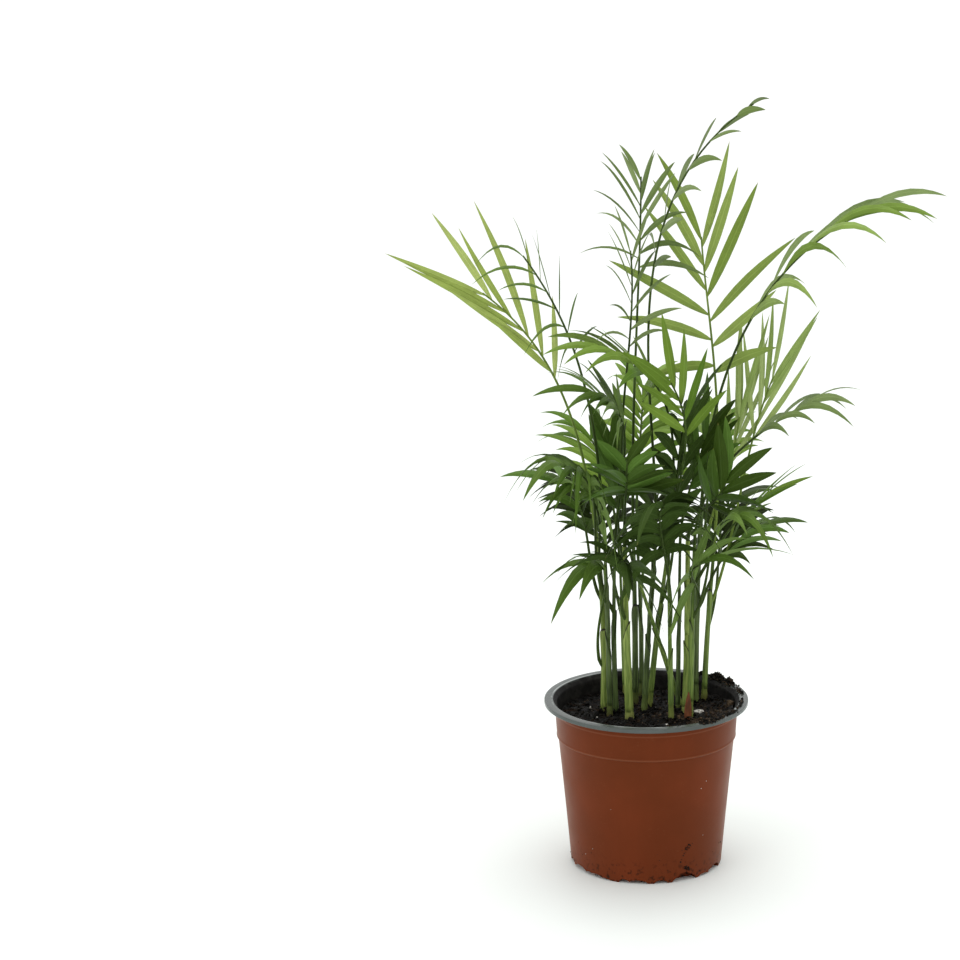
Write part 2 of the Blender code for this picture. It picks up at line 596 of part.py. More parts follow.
def frond_leaves(frond, knots):
    """Each leaflet of a frond: a pair at every station, and the last pair at the rib's tip."""
    dice = random.Random(f"{SEED} {frond.name}")
    leaves = []
    for index in range(frond.pairs):
        climb = index / (frond.pairs - 1)
        share = frond.bare + (LAST_PAIR - frond.bare) * climb
        low, high = frond.ends
        size = 1 - (1 - low) * max(0, 1 - climb * 2) - (1 - high) * max(0, climb * 2 - 1)
        for hand in (1, -1):
            station = share + hand * STAGGER
            along, side, face = rib_frame(frond, knots, station)
            angle = frond.spread[1] + (frond.spread[0] - frond.spread[1]) * (1 - climb) ** 2
            angle = math.radians(angle * dice.uniform(*ANGLE_RANGE))
            lift = math.radians(frond.cup + dice.uniform(-LIFT_RANGE, LIFT_RANGE))
            aim = along * math.cos(angle) + side * hand * math.sin(angle)
            aim = (aim + face * math.tan(lift) * math.sin(angle)).normalized()
            turn = -hand * math.radians(frond.twist + dice.uniform(-TURN_RANGE, TURN_RANGE))
            look = Matrix.Rotation(turn, 3, aim) @ face
            length = frond.length * size * dice.uniform(*LENGTH_RANGE)
            width = frond.width * dice.uniform(*WIDTH_RANGE)
            droop = frond.droop * dice.uniform(*DROOP_RANGE) * math.sqrt(1 - aim.z ** 2)
            leaves.append(Leaf(rib_axis(knots, station), aim, look, length, width, droop))
    return leaves


def place_leaf(template, leaf, along, placed):
    """The leaflet, turned a little about the rib where it would touch, or None."""
    faces = [tuple(face.vertices) for face in template.polygons]
    for turn in LEAF_TURNS:
        swing = Matrix.Rotation(math.radians(turn), 3, along)
        tried = leaf._replace(aim=swing @ leaf.aim, face=swing @ leaf.face)
        tree = BVHTree.FromPolygons(leaf_corners(template, tried, SAFE), faces)
        if is_clear(tree, placed):
            return tried
    return None


def joined_mesh(rib, blades):
    """The union of the rib with its leaflets. The rib's object is removed."""
    for near in UNION_NEARS:
        for solver in ("EXACT", "MANIFOLD"):
            tried = rib.copy()
            bpy.context.scene.collection.objects.link(tried)
            join = tried.modifiers.new("Join", "BOOLEAN")
            join.operation = "UNION"
            join.operand_type = "COLLECTION"
            join.collection = blades
            join.solver = solver
            mesh = tidied(largest_piece(evaluated_mesh(tried, near / 100)), near)
            if is_closed(mesh):
                bpy.data.objects.remove(rib)
                return mesh
    raise ValueError(f"{blades.name} don't fuse")


def make_frond(frond, stem, collection, template, placed):
    """One frond: its rib with every leaflet that is clear fused on."""
    knots = route_rib(frond, stem, placed)
    blades = bpy.data.collections.new(f"{frond.name}_blades")
    bpy.context.scene.collection.children.link(blades)
    rib = bpy.data.objects.new("rib", rib_mesh(knots, 0))
    bpy.context.scene.collection.objects.link(rib)
    trees = [mesh_tree(rib.data)]
    along = (knots[3] - knots[2]).normalized()
    for leaf in frond_leaves(frond, knots):
        kept = place_leaf(template, leaf, along, placed)
        if kept is None:
            continue
        mesh = template.copy()
        for vertex, corner in zip(mesh.vertices, leaf_corners(template, kept, 0)):
            vertex.co = corner
        blade = bpy.data.objects.new("blade", mesh)
        blades.objects.link(blade)
        trees.append(mesh_tree(mesh))
    joined = joined_mesh(rib, blades)
    remove_collection(blades)
    joined.shade_smooth()
    joined.set_sharp_from_angle(angle=math.radians(40))
    add_object(frond.name, joined, collection, frond.tint)
    placed.extend(trees)


def main():
    """Build the whole plant."""
    for thing in list(bpy.data.objects):
        bpy.data.objects.remove(thing)
    palm = bpy.data.collections.new("parlour_palm")
    bpy.context.scene.collection.children.link(palm)
    pot = make_pot(palm)
    soil = make_soil(palm)
    placed = [mesh_tree(pot.data), mesh_tree(soil.data)]
    stems = seated_stems(soil)
    make_stems(stems, palm, placed)
    template = leaf_template()
    for frond in FRONDS:
        make_frond(frond, stems[frond.stem - 1], palm, template, placed)


main()
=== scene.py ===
"""A parlour palm in its nursery pot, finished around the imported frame.

Metres, +Z up, with the origin under the middle of the pot. Sizes and places are in millimetres
and degrees, and MM turns them to metres. A heading of 0 points along +X and 90 along +Y,
and a lean is measured from upright.
"""

import json
import math
import random
from collections import namedtuple

import bmesh
import bpy
from mathutils import Matrix, Vector, noise
from mathutils.bvhtree import BVHTree

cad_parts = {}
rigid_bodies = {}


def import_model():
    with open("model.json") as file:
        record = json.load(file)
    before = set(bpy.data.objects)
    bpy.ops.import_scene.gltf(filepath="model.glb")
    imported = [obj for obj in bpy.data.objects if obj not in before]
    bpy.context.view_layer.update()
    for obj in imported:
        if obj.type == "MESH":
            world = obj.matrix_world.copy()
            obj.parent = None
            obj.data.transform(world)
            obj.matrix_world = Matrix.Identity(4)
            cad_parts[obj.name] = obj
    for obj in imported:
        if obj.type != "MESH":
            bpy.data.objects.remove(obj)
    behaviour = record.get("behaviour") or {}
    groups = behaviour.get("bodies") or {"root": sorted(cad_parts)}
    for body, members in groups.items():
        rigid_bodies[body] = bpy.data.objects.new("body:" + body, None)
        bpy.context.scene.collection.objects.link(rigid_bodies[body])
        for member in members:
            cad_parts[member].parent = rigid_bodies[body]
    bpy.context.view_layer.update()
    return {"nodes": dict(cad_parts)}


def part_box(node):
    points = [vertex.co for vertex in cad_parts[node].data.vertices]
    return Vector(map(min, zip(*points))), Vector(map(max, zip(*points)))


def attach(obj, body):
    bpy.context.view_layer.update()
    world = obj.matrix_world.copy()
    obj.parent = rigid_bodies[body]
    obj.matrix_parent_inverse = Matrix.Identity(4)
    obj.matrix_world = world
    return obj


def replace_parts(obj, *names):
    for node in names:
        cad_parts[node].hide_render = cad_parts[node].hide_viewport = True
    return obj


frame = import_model()

MM = 0.001
UP = Vector((0, 0, 1))
SEED = 7
GAP = 0.3            # clear space that the solids keep to each other
SAFE = 0.1           # clear space that an added leaflet keeps

# Camera: looks down on the plant a little, from the photograph's side.
CAMERA_PLACE = (0.0, -2.364, 0.864)
CAMERA_LENS = 157.9
CAMERA_SENSOR = 36.0
CAMERA_DOWN = 14.95
CAMERA_ROLL = 2.26
DAYLIGHT = 1.08      # strength of the white surroundings
FLOOR_REACH = 6.0    # half the floor's width, in metres
# Large soft lamps: name, place and the point it faces in metres, size and power
SOFTBOXES = (
    ("overhead", (0.1, 0.45, 1.6), (0, 0, 0.2), 1.1, 10),
    ("front_left", (-1.3, -1.3, 1.1), (0, 0, 0.25), 0.9, 4),
)

# Pot
POT_HEIGHT = 100.0
RIM_RADIUS = 60.0
RIM_INNER = 55.0
RIM_DEPTH = 2.4
UNDER_RIM = POT_HEIGHT - RIM_DEPTH
WALL = 1.3
FLOOR = 1.8
FOOT_RADIUS = 44.4
BAND_BOTTOM = 78.0   # where the shoulder band starts
BAND_TOP = 93.0
BAND_STEP = 0.7
BAND_TAPER = 1.2     # how much narrower the band is at its bottom than at the rim
NECK_RADIUS = 53.9   # outer wall just under the rim
WAIST_RADIUS = NECK_RADIUS - 2 * BAND_STEP - BAND_TAPER
LEDGE = 0.15         # how far the band's rounded ledges stand out
BELLY = 0.6          # how far the wall swells under the band
EASE = 0.5           # how far the pot's edges are rounded
SOLE = 7.5           # how high the pot's floor lies over the notches
POT_STEPS = 176
POT_SHARP = 32.0     # edges of the notches stay sharp from this angle on
NOTCH_WIDTH = 11.0
NOTCH_HEIGHT = 4.6
NOTCH_TURN = 12.0
NOTCH_REACH = 12.0   # how far a notch is cut across the wall
NOTCH_DEPTHS = (0.75, 0.6, 0.8, 0.62, 0.7, 0.9, 0.5, 0.5, 1.2, 0.8)  # as shares of the height
CHIPS = ((-151, 15, 3.4), (-59, 15.5, 4.4), (-30, 9, 2.6))   # heading, width and height
NICKS = 22           # small chips and moulding dips all round the foot
NICK_SHIFT = 5.0
NICK_WIDTHS = (5, 9)
NICK_HEIGHTS = (1.0, 2.7)

# Soil
SOIL_LEVEL = 89.5
SOIL_HEAP = 9.0
HEAP_HEADING = -24.0
SOIL_SWELL = 0.9
SOIL_STEPS = 150
SOIL_RINGS = 46
LUMPS = ((9.0, 2.4), (4.0, 1.5), (1.8, 0.7))   # size and height of the soil's lumps
CRUMBS = 2600
CRUMB_SINK = 0.2     # how high a crumb's middle lies, as a share of its size
CRUMB_STRETCH = ((0.7, 1.5), (0.6, 1.1), (0.5, 0.9))    # a crumb's length, width and height
CRUMB_ROUGHNESS = (0.75, 1.2)
# Their usual size, the mean and spread of the logarithm of its factor, and their limit
CRUMB_SIZES = (0.4, 0.35, 0.55, 2.4)
BARK_SHARES = (0.05, 0.7)    # how many crumbs are bark, elsewhere and on the heaped side
# Clumps of crumbs on the rim: heading, how far round and how far across they spread, how
# high they pile, and how many crumbs they have.
CLUMPS = (
    (29, 6, 2.0, 3.6, 150),
    (40, 9, 2.2, 4.4, 260),
    (52, 6, 1.6, 2.0, 90),
    (13, 9, 1.6, 1.0, 40),
    (-12, 12, 0.9, 0.6, 60),
    (-32, 11, 1.6, 0.8, 110),
    (-43, 7, 2.2, 0.8, 90),
    (-52, 5, 4.0, 1.8, 260),
)
RIM_CRUMB_SIZES = (0.25, 0.9)
FOOT_CRUMBS = 40     # crumbs heaped round each stem's foot
FOOT_CRUMB_SIZES = (0.5, 1.3)
FOOT_REACH = (0.1, 2.2)      # how far off the stem they lie
FOOT_HEAP = 2.4      # how high they pile
SPLASHES = 60        # crumbs stuck low on the pot's wall
SPLASH_HEIGHTS = (1.5, 26)   # the lowest's height, and how much higher the highest is
SPLASH_SIZES = (0.15, 0.5)
SMEAR_CRUMBS = 54    # crumbs of the curved smear on the wall
SMEAR_HEADING = -56.0
SMEAR_BEND = 7.0
SMEAR_SIZES = (0.15, 0.62)
SMEAR_HEIGHTS = (6, 17)      # where it starts, and how much higher it ends
FIBRES = 160
FIBRE_LEANS = (76, 96)
FIBRE_LENGTHS = (4, 11)
FIBRE_BENDS = (0.8, 3)
FIBRE_RADII = (0.12, 0.24)
STONE = (31.0, 1.5)          # place of the white stone
STONE_SHAPE = (3.3, 2.1, 1.3)
STONE_BULGES = 0.16
GRITS = ((-29.0, -3.5), (5.5, 14.0), (-8.0, 26.0), (12.0, -24.0), (-33.0, 14.0))
# White specks on the pot's wall: heading and height
SPECKS = ((-50, 57), (-45, 26.5), (-133, 18), (-141, 13), (-115, 46), (-46, 61))

# Stems, as in the frame
STEM_TAPER = 0.62
STEM_FLARE = 0.25
FLARE_REACH = 0.15   # the share of a stem's height that its foot flares over
Stem = namedtuple("Stem", "name foot_x foot_y tip_x tip_y tip_z radius bow foot_z",
                  defaults=(SOIL_LEVEL,))
STEMS = (
    Stem("stem_01", -24.7, 6.5, -28.5, 6.0, 194.0, 2.0, 1.5),
    Stem("stem_02", -21.5, -1.5, -24.0, -4.0, 190.0, 1.5, 0.5),
    Stem("stem_03", -17.8, 5.0, -18.5, 7.0, 184.0, 1.5, -0.8),
    Stem("stem_04", -12.6, 33.0, -15.5, 36.0, 172.0, 1.2, 0.0),
    Stem("stem_05", -9.7, -7.8, -12.5, -12.0, 196.0, 2.3, -0.4),
    Stem("stem_06", -6.5, 19.7, -7.5, 22.0, 190.0, 1.8, 0.4),
    Stem("stem_07", -2.9, 34.0, -5.0, 38.0, 180.0, 1.4, 0.8),
    Stem("stem_08", -1.2, 8.0, 5.0, 8.5, 184.0, 1.7, -0.4),
    Stem("stem_09", 1.8, 15.5, 12.0, 17.0, 180.0, 1.7, -0.4),
    Stem("stem_10", 20.5, 12.0, -5.5, -7.5, 178.0, 1.5, 0.0),
    Stem("stem_11", 14.7, -13.5, 13.0, -15.5, 186.0, 1.5, 0.0),
    Stem("stem_12", 18.6, 5.5, 19.8, 6.5, 192.0, 1.3, 0.0),
    Stem("stem_13", 23.4, 2.0, 24.2, 0.5, 196.0, 2.1, 0.4),
    Stem("stem_14", 25.6, -8.0, 28.0, -11.0, 197.0, 1.7, 0.0),
    Stem("stem_15", 28.8, 22.6, 32.5, 22.0, 212.0, 2.1, -0.8),
    Stem("stem_16", 34.4, 25.5, 39.5, 26.5, 178.0, 1.6, -0.5),
)
STEM_SUNK = 2.5      # how deep a stem's foot goes on in the soil
CANE_TONES = (0, 2, 2, 1, 0, 2, 2, 2, 1, 1, 1, 2, 0, 1, 2, 1)   # olive, green or dark
FIRST_SCAR = (0.08, 0.16)    # the place of a cane's lowest leaf scar, as a share
SCAR_TILT = 0.004
SCAR_RING = (0.04, 0.7)      # how much a scar swells the cane, and over what reach
SCAR_NODE = (0.05, 4.0)      # the same for the node round it
SCAR_STEPS = (22, 44)        # how far a cane's leaf scars lie apart
SHEATH_LENGTHS = (34, 62)
SHEATH_COUNTS = (1, 2, 2)    # a cane has one or two of them
SHEATH_SLANTS = (0.18, 0.4)  # how far its top is cut off slantwise, as a share
SHEATH_LIFT = 0.12           # how far the lowest one stands off its cane
SHEATH_STEP = 0.1            # and how much further the one over it
SHEATH_FLARE = 0.5           # how far it opens at its top
SHEATH_OPENING = 0.7         # and from which share of its length on
SHEATH_WALL = 0.16
DRY_STEM = 14                # the stem with the dried sheath at its foot
DRY_SIZE = (21, 4.4)         # that sheath's length and width

# Fronds, as in the frame. up is the foot's share of the stem's height, tip the rib's end.
# start and end are the rib's leans and pull its two bends' reach. roll turns the blade
# about the rib, and bare is the rib's share under the lowest pair of leaflets.
# ends are the lengths of the lowest and the last pair, as shares of the middle one's.
# spread is the leaflets' angle from the rib at the lowest and the last pair.
# cup is how far leaflets rise out of the blade, and twist how far each turns on itself.
# droop is how far a leaflet's tip sags, as a share of its length.
# The rest is the scene's own: tint, then how many leaflets fill each gap between pairs, how
# wide leaflets are and how much of their droop they keep, as shares of the source's, how
# wide one side's low leaflets are beside the others, and their belly.
RIB_FOOT_RADIUS = 0.95
RIB_TIP_RADIUS = 0.5
RIB_PUSHES = (3, 6, 9, 13)
LAST_PAIR = 0.975
STAGGER = 0.012
ANGLE_RANGE = (0.82, 1.2)    # how much leaflets of one frond differ from its own values
LIFT_RANGE = 11.0
TURN_RANGE = 22.0
LENGTH_RANGE = (0.86, 1.08)
WIDTH_RANGE = (0.8, 1.08)
DROOP_RANGE = (0.55, 1.45)
LEAF_ROOT = 0.7
LEAF_TURNS = (0, 9, -9, 18, -18, 27, -27)
LEAF_ARCH = 0.6      # how far a leaflet rises before it sags, as a share of its droop
LEAF_BELLY = 0.75    # below 1 the widest place lies before the leaflet's middle
Frond = namedtuple("Frond", "name stem up tip heading start end pull roll bare pairs "
                            "length width ends spread droop cup twist tint "
                            "fill wide calm thin belly", defaults=(0, 1, 1, 1, LEAF_BELLY))
FRONDS = (
    Frond("frond_crest", 8, 1, (61, 8, 452), 0, 0, 56, (0.3, 0.4), 8, 0.62, 6, 38, 5.0,
          (0.9, 0.5), (58, 26), 0.5, 0, 20, "airy", wide=0.9, calm=0.6),
    Frond("frond_tall", 6, 1, (-3, 40, 404), 90, 0, 22, (0.4, 0.3), -42, 0.74, 7, 57, 4.0,
          (0.9, 0.58), (66, 30), 0.42, 10, 0, "airy", calm=0.75, thin=0.45),
    Frond("frond_second", 10, 1, (-9, -6, 370), 120, 0, 12, (0.4, 0.3), 25, 0.7, 6, 50, 4.4,
          (0.85, 0.72), (66, 30), 0.42, 5, 0, "airy", wide=0.85, calm=0.75, thin=0.5),
    Frond("frond_feather", 16, 1, (32, 42, 368), 100, 0, 24, (0.5, 0.3), 0, 0.52, 6, 76, 5.6,
          (0.56, 0.84), (78, 20), 0.1, 5, 0, "feather", wide=1.15),
    Frond("frond_arch_right", 15, 1, (119, 0, 388), 0, 0, 62, (0.42, 0.3), 0, 0.54, 6, 78, 6.6,
          (0.72, 0.94), (42, 20), 0.58, 0, 40, "arch", wide=0.9, calm=0.95, belly=1.0),
    Frond("frond_fan_left", 1, 1, (-94, 0, 344), 180, 0, 54, (0.30, 0.40), -78, 0.64, 5, 82,
          5.4, (0.66, 0.72), (23, 16), 0.00, 0, 0, "bright", wide=0.8),
    Frond("frond_left", 2, 1, (-70, -20, 370), 180, 0, 36, (0.45, 0.3), -22, 0.62, 6, 54, 4.2,
          (0.7, 0.9), (66, 40), 0.5, 0, 0, "leafy", wide=0.5, calm=0.7),
    Frond("frond_fan_right", 16, 0.72, (75, 56, 281), 20, 16, 24, (0.35, 0.35), 82, 0.72, 4,
          70, 5.0, (0.85, 0.9), (20, 12), 0.03, 0, 0, "fan", wide=0.8),
    Frond("frond_behind_right", 15, 0.78, (55, 50, 258), 0, 14, 4, (0.35, 0.4), 86, 0.66, 4,
          70, 5.0, (0.85, 0.9), (14, 7), 0.02, 0, 0, "fan", wide=0.7),
    Frond("frond_side_right", 14, 1, (94, -20, 284), 0, 0, 62, (0.4, 0.3), 0, 0.68, 4, 44, 5.0,
          (0.8, 0.95), (44, 26), 0.66, 0, 40, "airy", calm=0.75),
    Frond("frond_fan_middle", 11, 1, (14, -38, 300), 180, 0, 30, (0.4, 0.35), -70, 0.7, 4, 48,
          5.6, (0.8, 0.9), (40, 20), 0.14, 0, 0, "mid"),
    Frond("frond_spill_left", 9, 1, (-22, -36, 318), 190, 0, 70, (0.5, 0.3), -15, 0.7, 5, 46,
          5.4, (0.8, 1.0), (48, 18), 0.3, 0, 35, "mid"),
    Frond("frond_spill_low_left", 3, 1, (-31, -42, 296), 195, 0, 64, (0.45, 0.3), -20, 0.66, 5,
          41, 5.8, (0.8, 1.0), (48, 22), 0.42, 0, 35, "leafy", fill=1, wide=0.9),
    Frond("frond_low_left", 2, 0.74, (-48, -48, 254), 210, 16, 72, (0.4, 0.35), 0, 0.62, 5, 46,
          6.2, (0.8, 1.0), (54, 26), 0.75, 0, 30, "leafy", fill=1, wide=0.9),
    Frond("frond_lower_left", 3, 0.70, (-40, -30, 236), 195, 18, 66, (0.35, 0.35), 0, 0.58, 4,
          38, 5.8, (0.8, 1.0), (50, 30), 0.70, 0, 30, "leafy", fill=1, wide=0.9),
    Frond("frond_drip_left", 1, 0.3, (-28, -24, 187), 200, 10, 80, (0.4, 0.2), 0, 0.84, 3, 38,
          7.4, (0.8, 1.0), (30, 18), 0.75, 0, 25, "leafy", wide=1.3),
    Frond("frond_front_left", 5, 0.62, (-14, -46, 196), 235, 22, 70, (0.35, 0.35), 0, 0.52, 3,
          46, 6.0, (0.8, 1.0), (64, 36), 0.5, 0, 20, "deep", fill=2, wide=1.3),
    Frond("frond_low_right", 13, 0.56, (31, -40, 193), 335, 24, 68, (0.35, 0.35), 0, 0.54, 4,
          60, 5.4, (0.75, 1.0), (44, 20), 0.34, 0, 35, "leafy"),
    Frond("frond_point_right", 14, 0.80, (66, -4, 222), 5, 20, 56, (0.35, 0.35), 10, 0.68, 3,
          40, 4.6, (0.7, 1.0), (32, 13), 0.12, 0, 10, "mid"),
    Frond("frond_hang_right", 14, 0.62, (52, -42, 222), 335, 22, 78, (0.4, 0.3), 0, 0.6, 4, 37,
          6.0, (0.8, 1.0), (46, 22), 0.6, 0, 25, "leafy"),
    Frond("frond_dark_middle", 5, 1, (-11, -46, 257), 90, 0, -8, (0.4, 0.35), 0, 0.6, 5, 38,
          7.0, (1.0, 0.85), (66, 28), 0.2, 5, 0, "dark", fill=1, wide=1.2),
    Frond("frond_dark_right", 13, 1, (46, -28, 240), 0, 0, 20, (0.4, 0.35), 75, 0.6, 4, 44,
          7.0, (0.8, 1.0), (50, 22), 0.16, 0, 0, "dark", fill=1, wide=1.2),
    Frond("frond_curl_middle", 11, 0.66, (10, -58, 232), 285, 20, 66, (0.35, 0.35), 0, 0.5, 4,
          46, 6.6, (0.8, 1.0), (60, 36), 0.6, 0, 10, "deep", fill=2, wide=1.3),
    Frond("frond_dark_low", 8, 0.66, (6, -36, 213), 272, 22, 60, (0.35, 0.35), 0, 0.5, 4, 44,
          6.8, (0.8, 1.0), (56, 34), 0.75, 0, 0, "deep", fill=2, wide=1.3),
    Frond("frond_inner_left", 6, 0.74, (-20, 2, 250), 180, 18, 10, (0.35, 0.35), -80, 0.56, 4,
          44, 6.6, (0.9, 0.9), (28, 12), 0.14, 0, 10, "dark", fill=1, wide=1.1),
    Frond("frond_inner_middle", 9, 0.76, (24, -16, 276), 300, 16, 30, (0.35, 0.35), 20, 0.52,
          5, 46, 6.4, (0.8, 1.0), (48, 26), 0.3, 0, 10, "deep", fill=2, wide=1.15),
    Frond("frond_inner_right", 12, 1, (34, 4, 256), 340, 0, 14, (0.35, 0.35), 70, 0.54, 5, 46,
          6.4, (0.9, 0.9), (38, 16), 0.2, 0, 10, "dark", fill=1, wide=1.15),
    Frond("frond_back_left", 4, 1, (-34, 84, 238), 120, 0, 56, (0.4, 0.35), 0, 0.52, 5, 50,
          6.0, (0.8, 0.9), (54, 26), 0.42, 0, 15, "mid", fill=1, wide=0.9),
    Frond("frond_back_middle", 7, 1, (-2, 108, 262), 90, 0, 58, (0.4, 0.35), 0, 0.5, 6, 50,
          6.0, (0.8, 0.9), (54, 26), 0.42, 0, 15, "mid", fill=1, wide=0.9),
    Frond("frond_back_right", 15, 0.72, (44, 94, 242), 68, 18, 56, (0.4, 0.35), 0, 0.5, 6, 50,
          6.0, (0.8, 0.9), (54, 26), 0.42, 0, 15, "mid", fill=1, wide=0.9),
    Frond("frond_back_low_left", 4, 0.66, (-36, 76, 208), 120, 20, 64, (0.35, 0.35), 0, 0.48,
          5, 44, 6.0, (0.8, 1.0), (56, 30), 0.5, 0, 15, "deep", fill=2, wide=0.9),
    Frond("frond_back_low", 7, 0.66, (8, 88, 204), 80, 20, 66, (0.35, 0.35), 0, 0.48, 5, 44,
          6.0, (0.8, 1.0), (56, 30), 0.5, 0, 15, "deep", fill=2, wide=0.9),
    Frond("frond_back_low_right", 16, 0.55, (50, 74, 198), 62, 24, 62, (0.35, 0.35), 0, 0.48,
          5, 44, 6.2, (0.8, 1.0), (54, 30), 0.5, 0, 15, "deep", fill=2, wide=0.9),
    Frond("frond_side_left", 1, 0.7, (-50, 34, 222), 150, 18, 62, (0.35, 0.35), 0, 0.5, 4, 42,
          6.0, (0.8, 1.0), (54, 28), 0.55, 0, 15, "dark"),
    Frond("frond_side_low_right", 15, 0.5, (62, 36, 192), 15, 22, 62, (0.35, 0.35), 0, 0.52, 4,
          42, 6.0, (0.8, 1.0), (54, 28), 0.55, 0, 15, "dark"),
)

# The fine leaflet
LEAF_STATIONS = (0.05, 0.12, 0.22, 0.34, 0.48, 0.62, 0.75, 0.86, 0.94)
LEAF_THICKNESS = 0.3
LEAF_THINNING = 0.75         # how much thinner its tip is than its root
LEAF_FULLNESS = 0.8          # below 1 the blade's outline is fuller than a sine's
# A leaflet's section, round from its midrib: how far across, and how far up its thickness
LEAF_SECTION = ((0, 1), (0.52, 0.6), (1, 0), (0, -1), (-1, 0), (-0.52, 0.6))
LEAF_FOLD = 0.17     # how high the midrib stands, as a share of the half width
LEAF_MISFIT = 2.2    # how far a leaflet may lie from the frame's own and still be that one
LEAF_SWAY = (24.0, 0.025)    # how far it may twist towards its tip, and bow as a share
DEEP_SWAY = (36.0, 0.045)    # both for the dark fronds in the middle
EASES = (1, 0.5, 0)          # how much of its own looks a leaflet keeps to stay clear
THIN_PAIRS = 5               # how many pairs have one side's leaflets thinner
FILL_WIDTH = 0.85
FILL_TURNS = (0, 12, -12, 24, -24)
STALK_LEAD = 0.04            # the share of a rib's piece that lies inside its stem
STALK_SUNK = 5.0             # how far under a frond's foot its stalk starts
STALK_SWELL = 9.0            # how far a stalk's swollen foot reaches

# Leaf colours: the slot, three tints of the upper face and one of the underside.
# The sets are painted light: the bright ones stand in for light shining through the high
# fronds, and the dark and deep ones are painted shade on the inner and low fronds.
TINTS = {
    "bright": ("leaf_bright", "#a0b25f", "#96a954", "#abbb6c", "#a5b372"),
    "fan": ("leaf_bright", "#97ab66", "#8aa158", "#a4b775", "#9eac76"),
    "feather": ("leaf_bright", "#82984a", "#788f3f", "#8ba052", "#8d9f5c"),
    "arch": ("leaf_bright", "#7d9746", "#718c3a", "#88a052", "#879b62"),
    "airy": ("leaf_mid", "#697d46", "#5e723e", "#778a54", "#78895c"),
    "mid": ("leaf_mid", "#5d7928", "#517120", "#6a8631", "#6d843e"),
    "leafy": ("leaf_mid", "#526d29", "#435e1d", "#627d38", "#617a3b"),
    "dark": ("leaf_dark", "#3f591e", "#334913", "#50702b", "#4f672d"),
    # deep: painted shade for the low and inner fronds that lie in the clump's shadow
    "deep": ("leaf_dark", "#233509", "#192707", "#34491a", "#374c1d"),
}


def srgb(colour):
    """A hex colour in linear light."""
    value = int(colour.lstrip("#"), 16)
    shares = [(value >> shift & 255) / 255 for shift in (16, 8, 0)]
    linear = [part / 12.92 if part <= 0.04045 else ((part + 0.055) / 1.055) ** 2.4
              for part in shares]
    return (*linear, 1)


def direction(heading, lean):
    """The unit vector that leans from upright towards a heading."""
    turn = math.radians(heading)
    tilt = math.radians(lean)
    level = math.sin(tilt)
    return Vector((level * math.cos(turn), level * math.sin(turn), math.cos(tilt)))


def add_node(tree, kind, settings, links=None):
    """Add a node with its settings, and link its inputs to other nodes' outputs."""
    node = tree.nodes.new(kind)
    for name, value in settings.items():
        if isinstance(name, str) and hasattr(node, name):
            setattr(node, name, value)
        else:
            node.inputs[name].default_value = value
    for name, socket in (links or {}).items():
        tree.links.new(socket, node.inputs[name])
    return node


def maths(tree, operation, *values):
    """A maths node's result. Each value is a number or a socket."""
    settings = {"operation": operation}
    links = {}
    for place, value in enumerate(values):
        target = links if isinstance(value, bpy.types.NodeSocket) else settings
        target[place] = value
    return add_node(tree, "ShaderNodeMath", settings, links).outputs[0]


def off_by(tree, value, middle):
    """How far a value lies from a middle."""
    return maths(tree, "ABSOLUTE", maths(tree, "SUBTRACT", value, middle))


def parts_of(tree, vector):
    """A vector's X, Y and Z."""
    return add_node(tree, "ShaderNodeSeparateXYZ", {}, {0: vector}).outputs


def length_of(tree, vector):
    """A vector's length."""
    made = add_node(tree, "ShaderNodeVectorMath", {"operation": "LENGTH"}, {0: vector})
    return made.outputs["Value"]


def scaled(tree, vector, scale):
    """A vector with its X, Y and Z scaled."""
    return add_node(tree, "ShaderNodeMapping", {"Scale": scale}, {"Vector": vector}).outputs[0]


def shifted(tree, value, low, high, to_low=0.0, to_high=1.0):
    """A value moved from one range to another and kept inside it."""
    settings = {"From Min": low, "From Max": high, "To Min": to_low, "To Max": to_high}
    return add_node(tree, "ShaderNodeMapRange", settings, {"Value": value}).outputs["Result"]


def mixed(tree, share, first, second):
    """Two colours mixed by a socket's share. Each is a socket, a hex or linear values."""
    settings = {"data_type": "RGBA"}
    links = {0: share}
    for place, colour in ((6, first), (7, second)):
        if isinstance(colour, bpy.types.NodeSocket):
            links[place] = colour
        else:
            settings[place] = srgb(colour) if isinstance(colour, str) else colour
    return add_node(tree, "ShaderNodeMix", settings, links).outputs[2]


def turned_to(tree, value, low, high, first, second, most=1.0):
    """A colour that turns to a second one, most of the way, as a value goes low to high."""
    return mixed(tree, shifted(tree, value, low, high, 0, most), first, second)


def grain(tree, place, size, detail=3.0, stretch=(1, 1, 1)):
    """Noise whose lumps are about size millimetres across."""
    settings = {"Scale": 1 / (size * MM), "Detail": detail}
    links = {"Vector": scaled(tree, place, stretch)}
    return add_node(tree, "ShaderNodeTexNoise", settings, links).outputs["Fac"]


def new_material(name, settings):
    """A material with its shader's constant values, its node tree and its coordinates."""
    made = bpy.data.materials.new(name)
    made.use_nodes = True
    tree = made.node_tree
    for key, value in settings.items():
        tree.nodes["Principled BSDF"].inputs[key].default_value = value
    return made, tree, add_node(tree, "ShaderNodeTexCoord", {}).outputs


def finished(made, colour, height=None, depth=0.0, strength=1.0):
    """The material with its colour, and with a bump whose full swing is depth millimetres."""
    tree = made.node_tree
    shader = tree.nodes["Principled BSDF"]
    tree.links.new(colour, shader.inputs["Base Color"])
    if height is not None:
        settings = {"Strength": strength, "Distance": depth * MM}
        bump = add_node(tree, "ShaderNodeBump", settings, {"Height": height})
        tree.links.new(bump.outputs["Normal"], shader.inputs["Normal"])
    return made


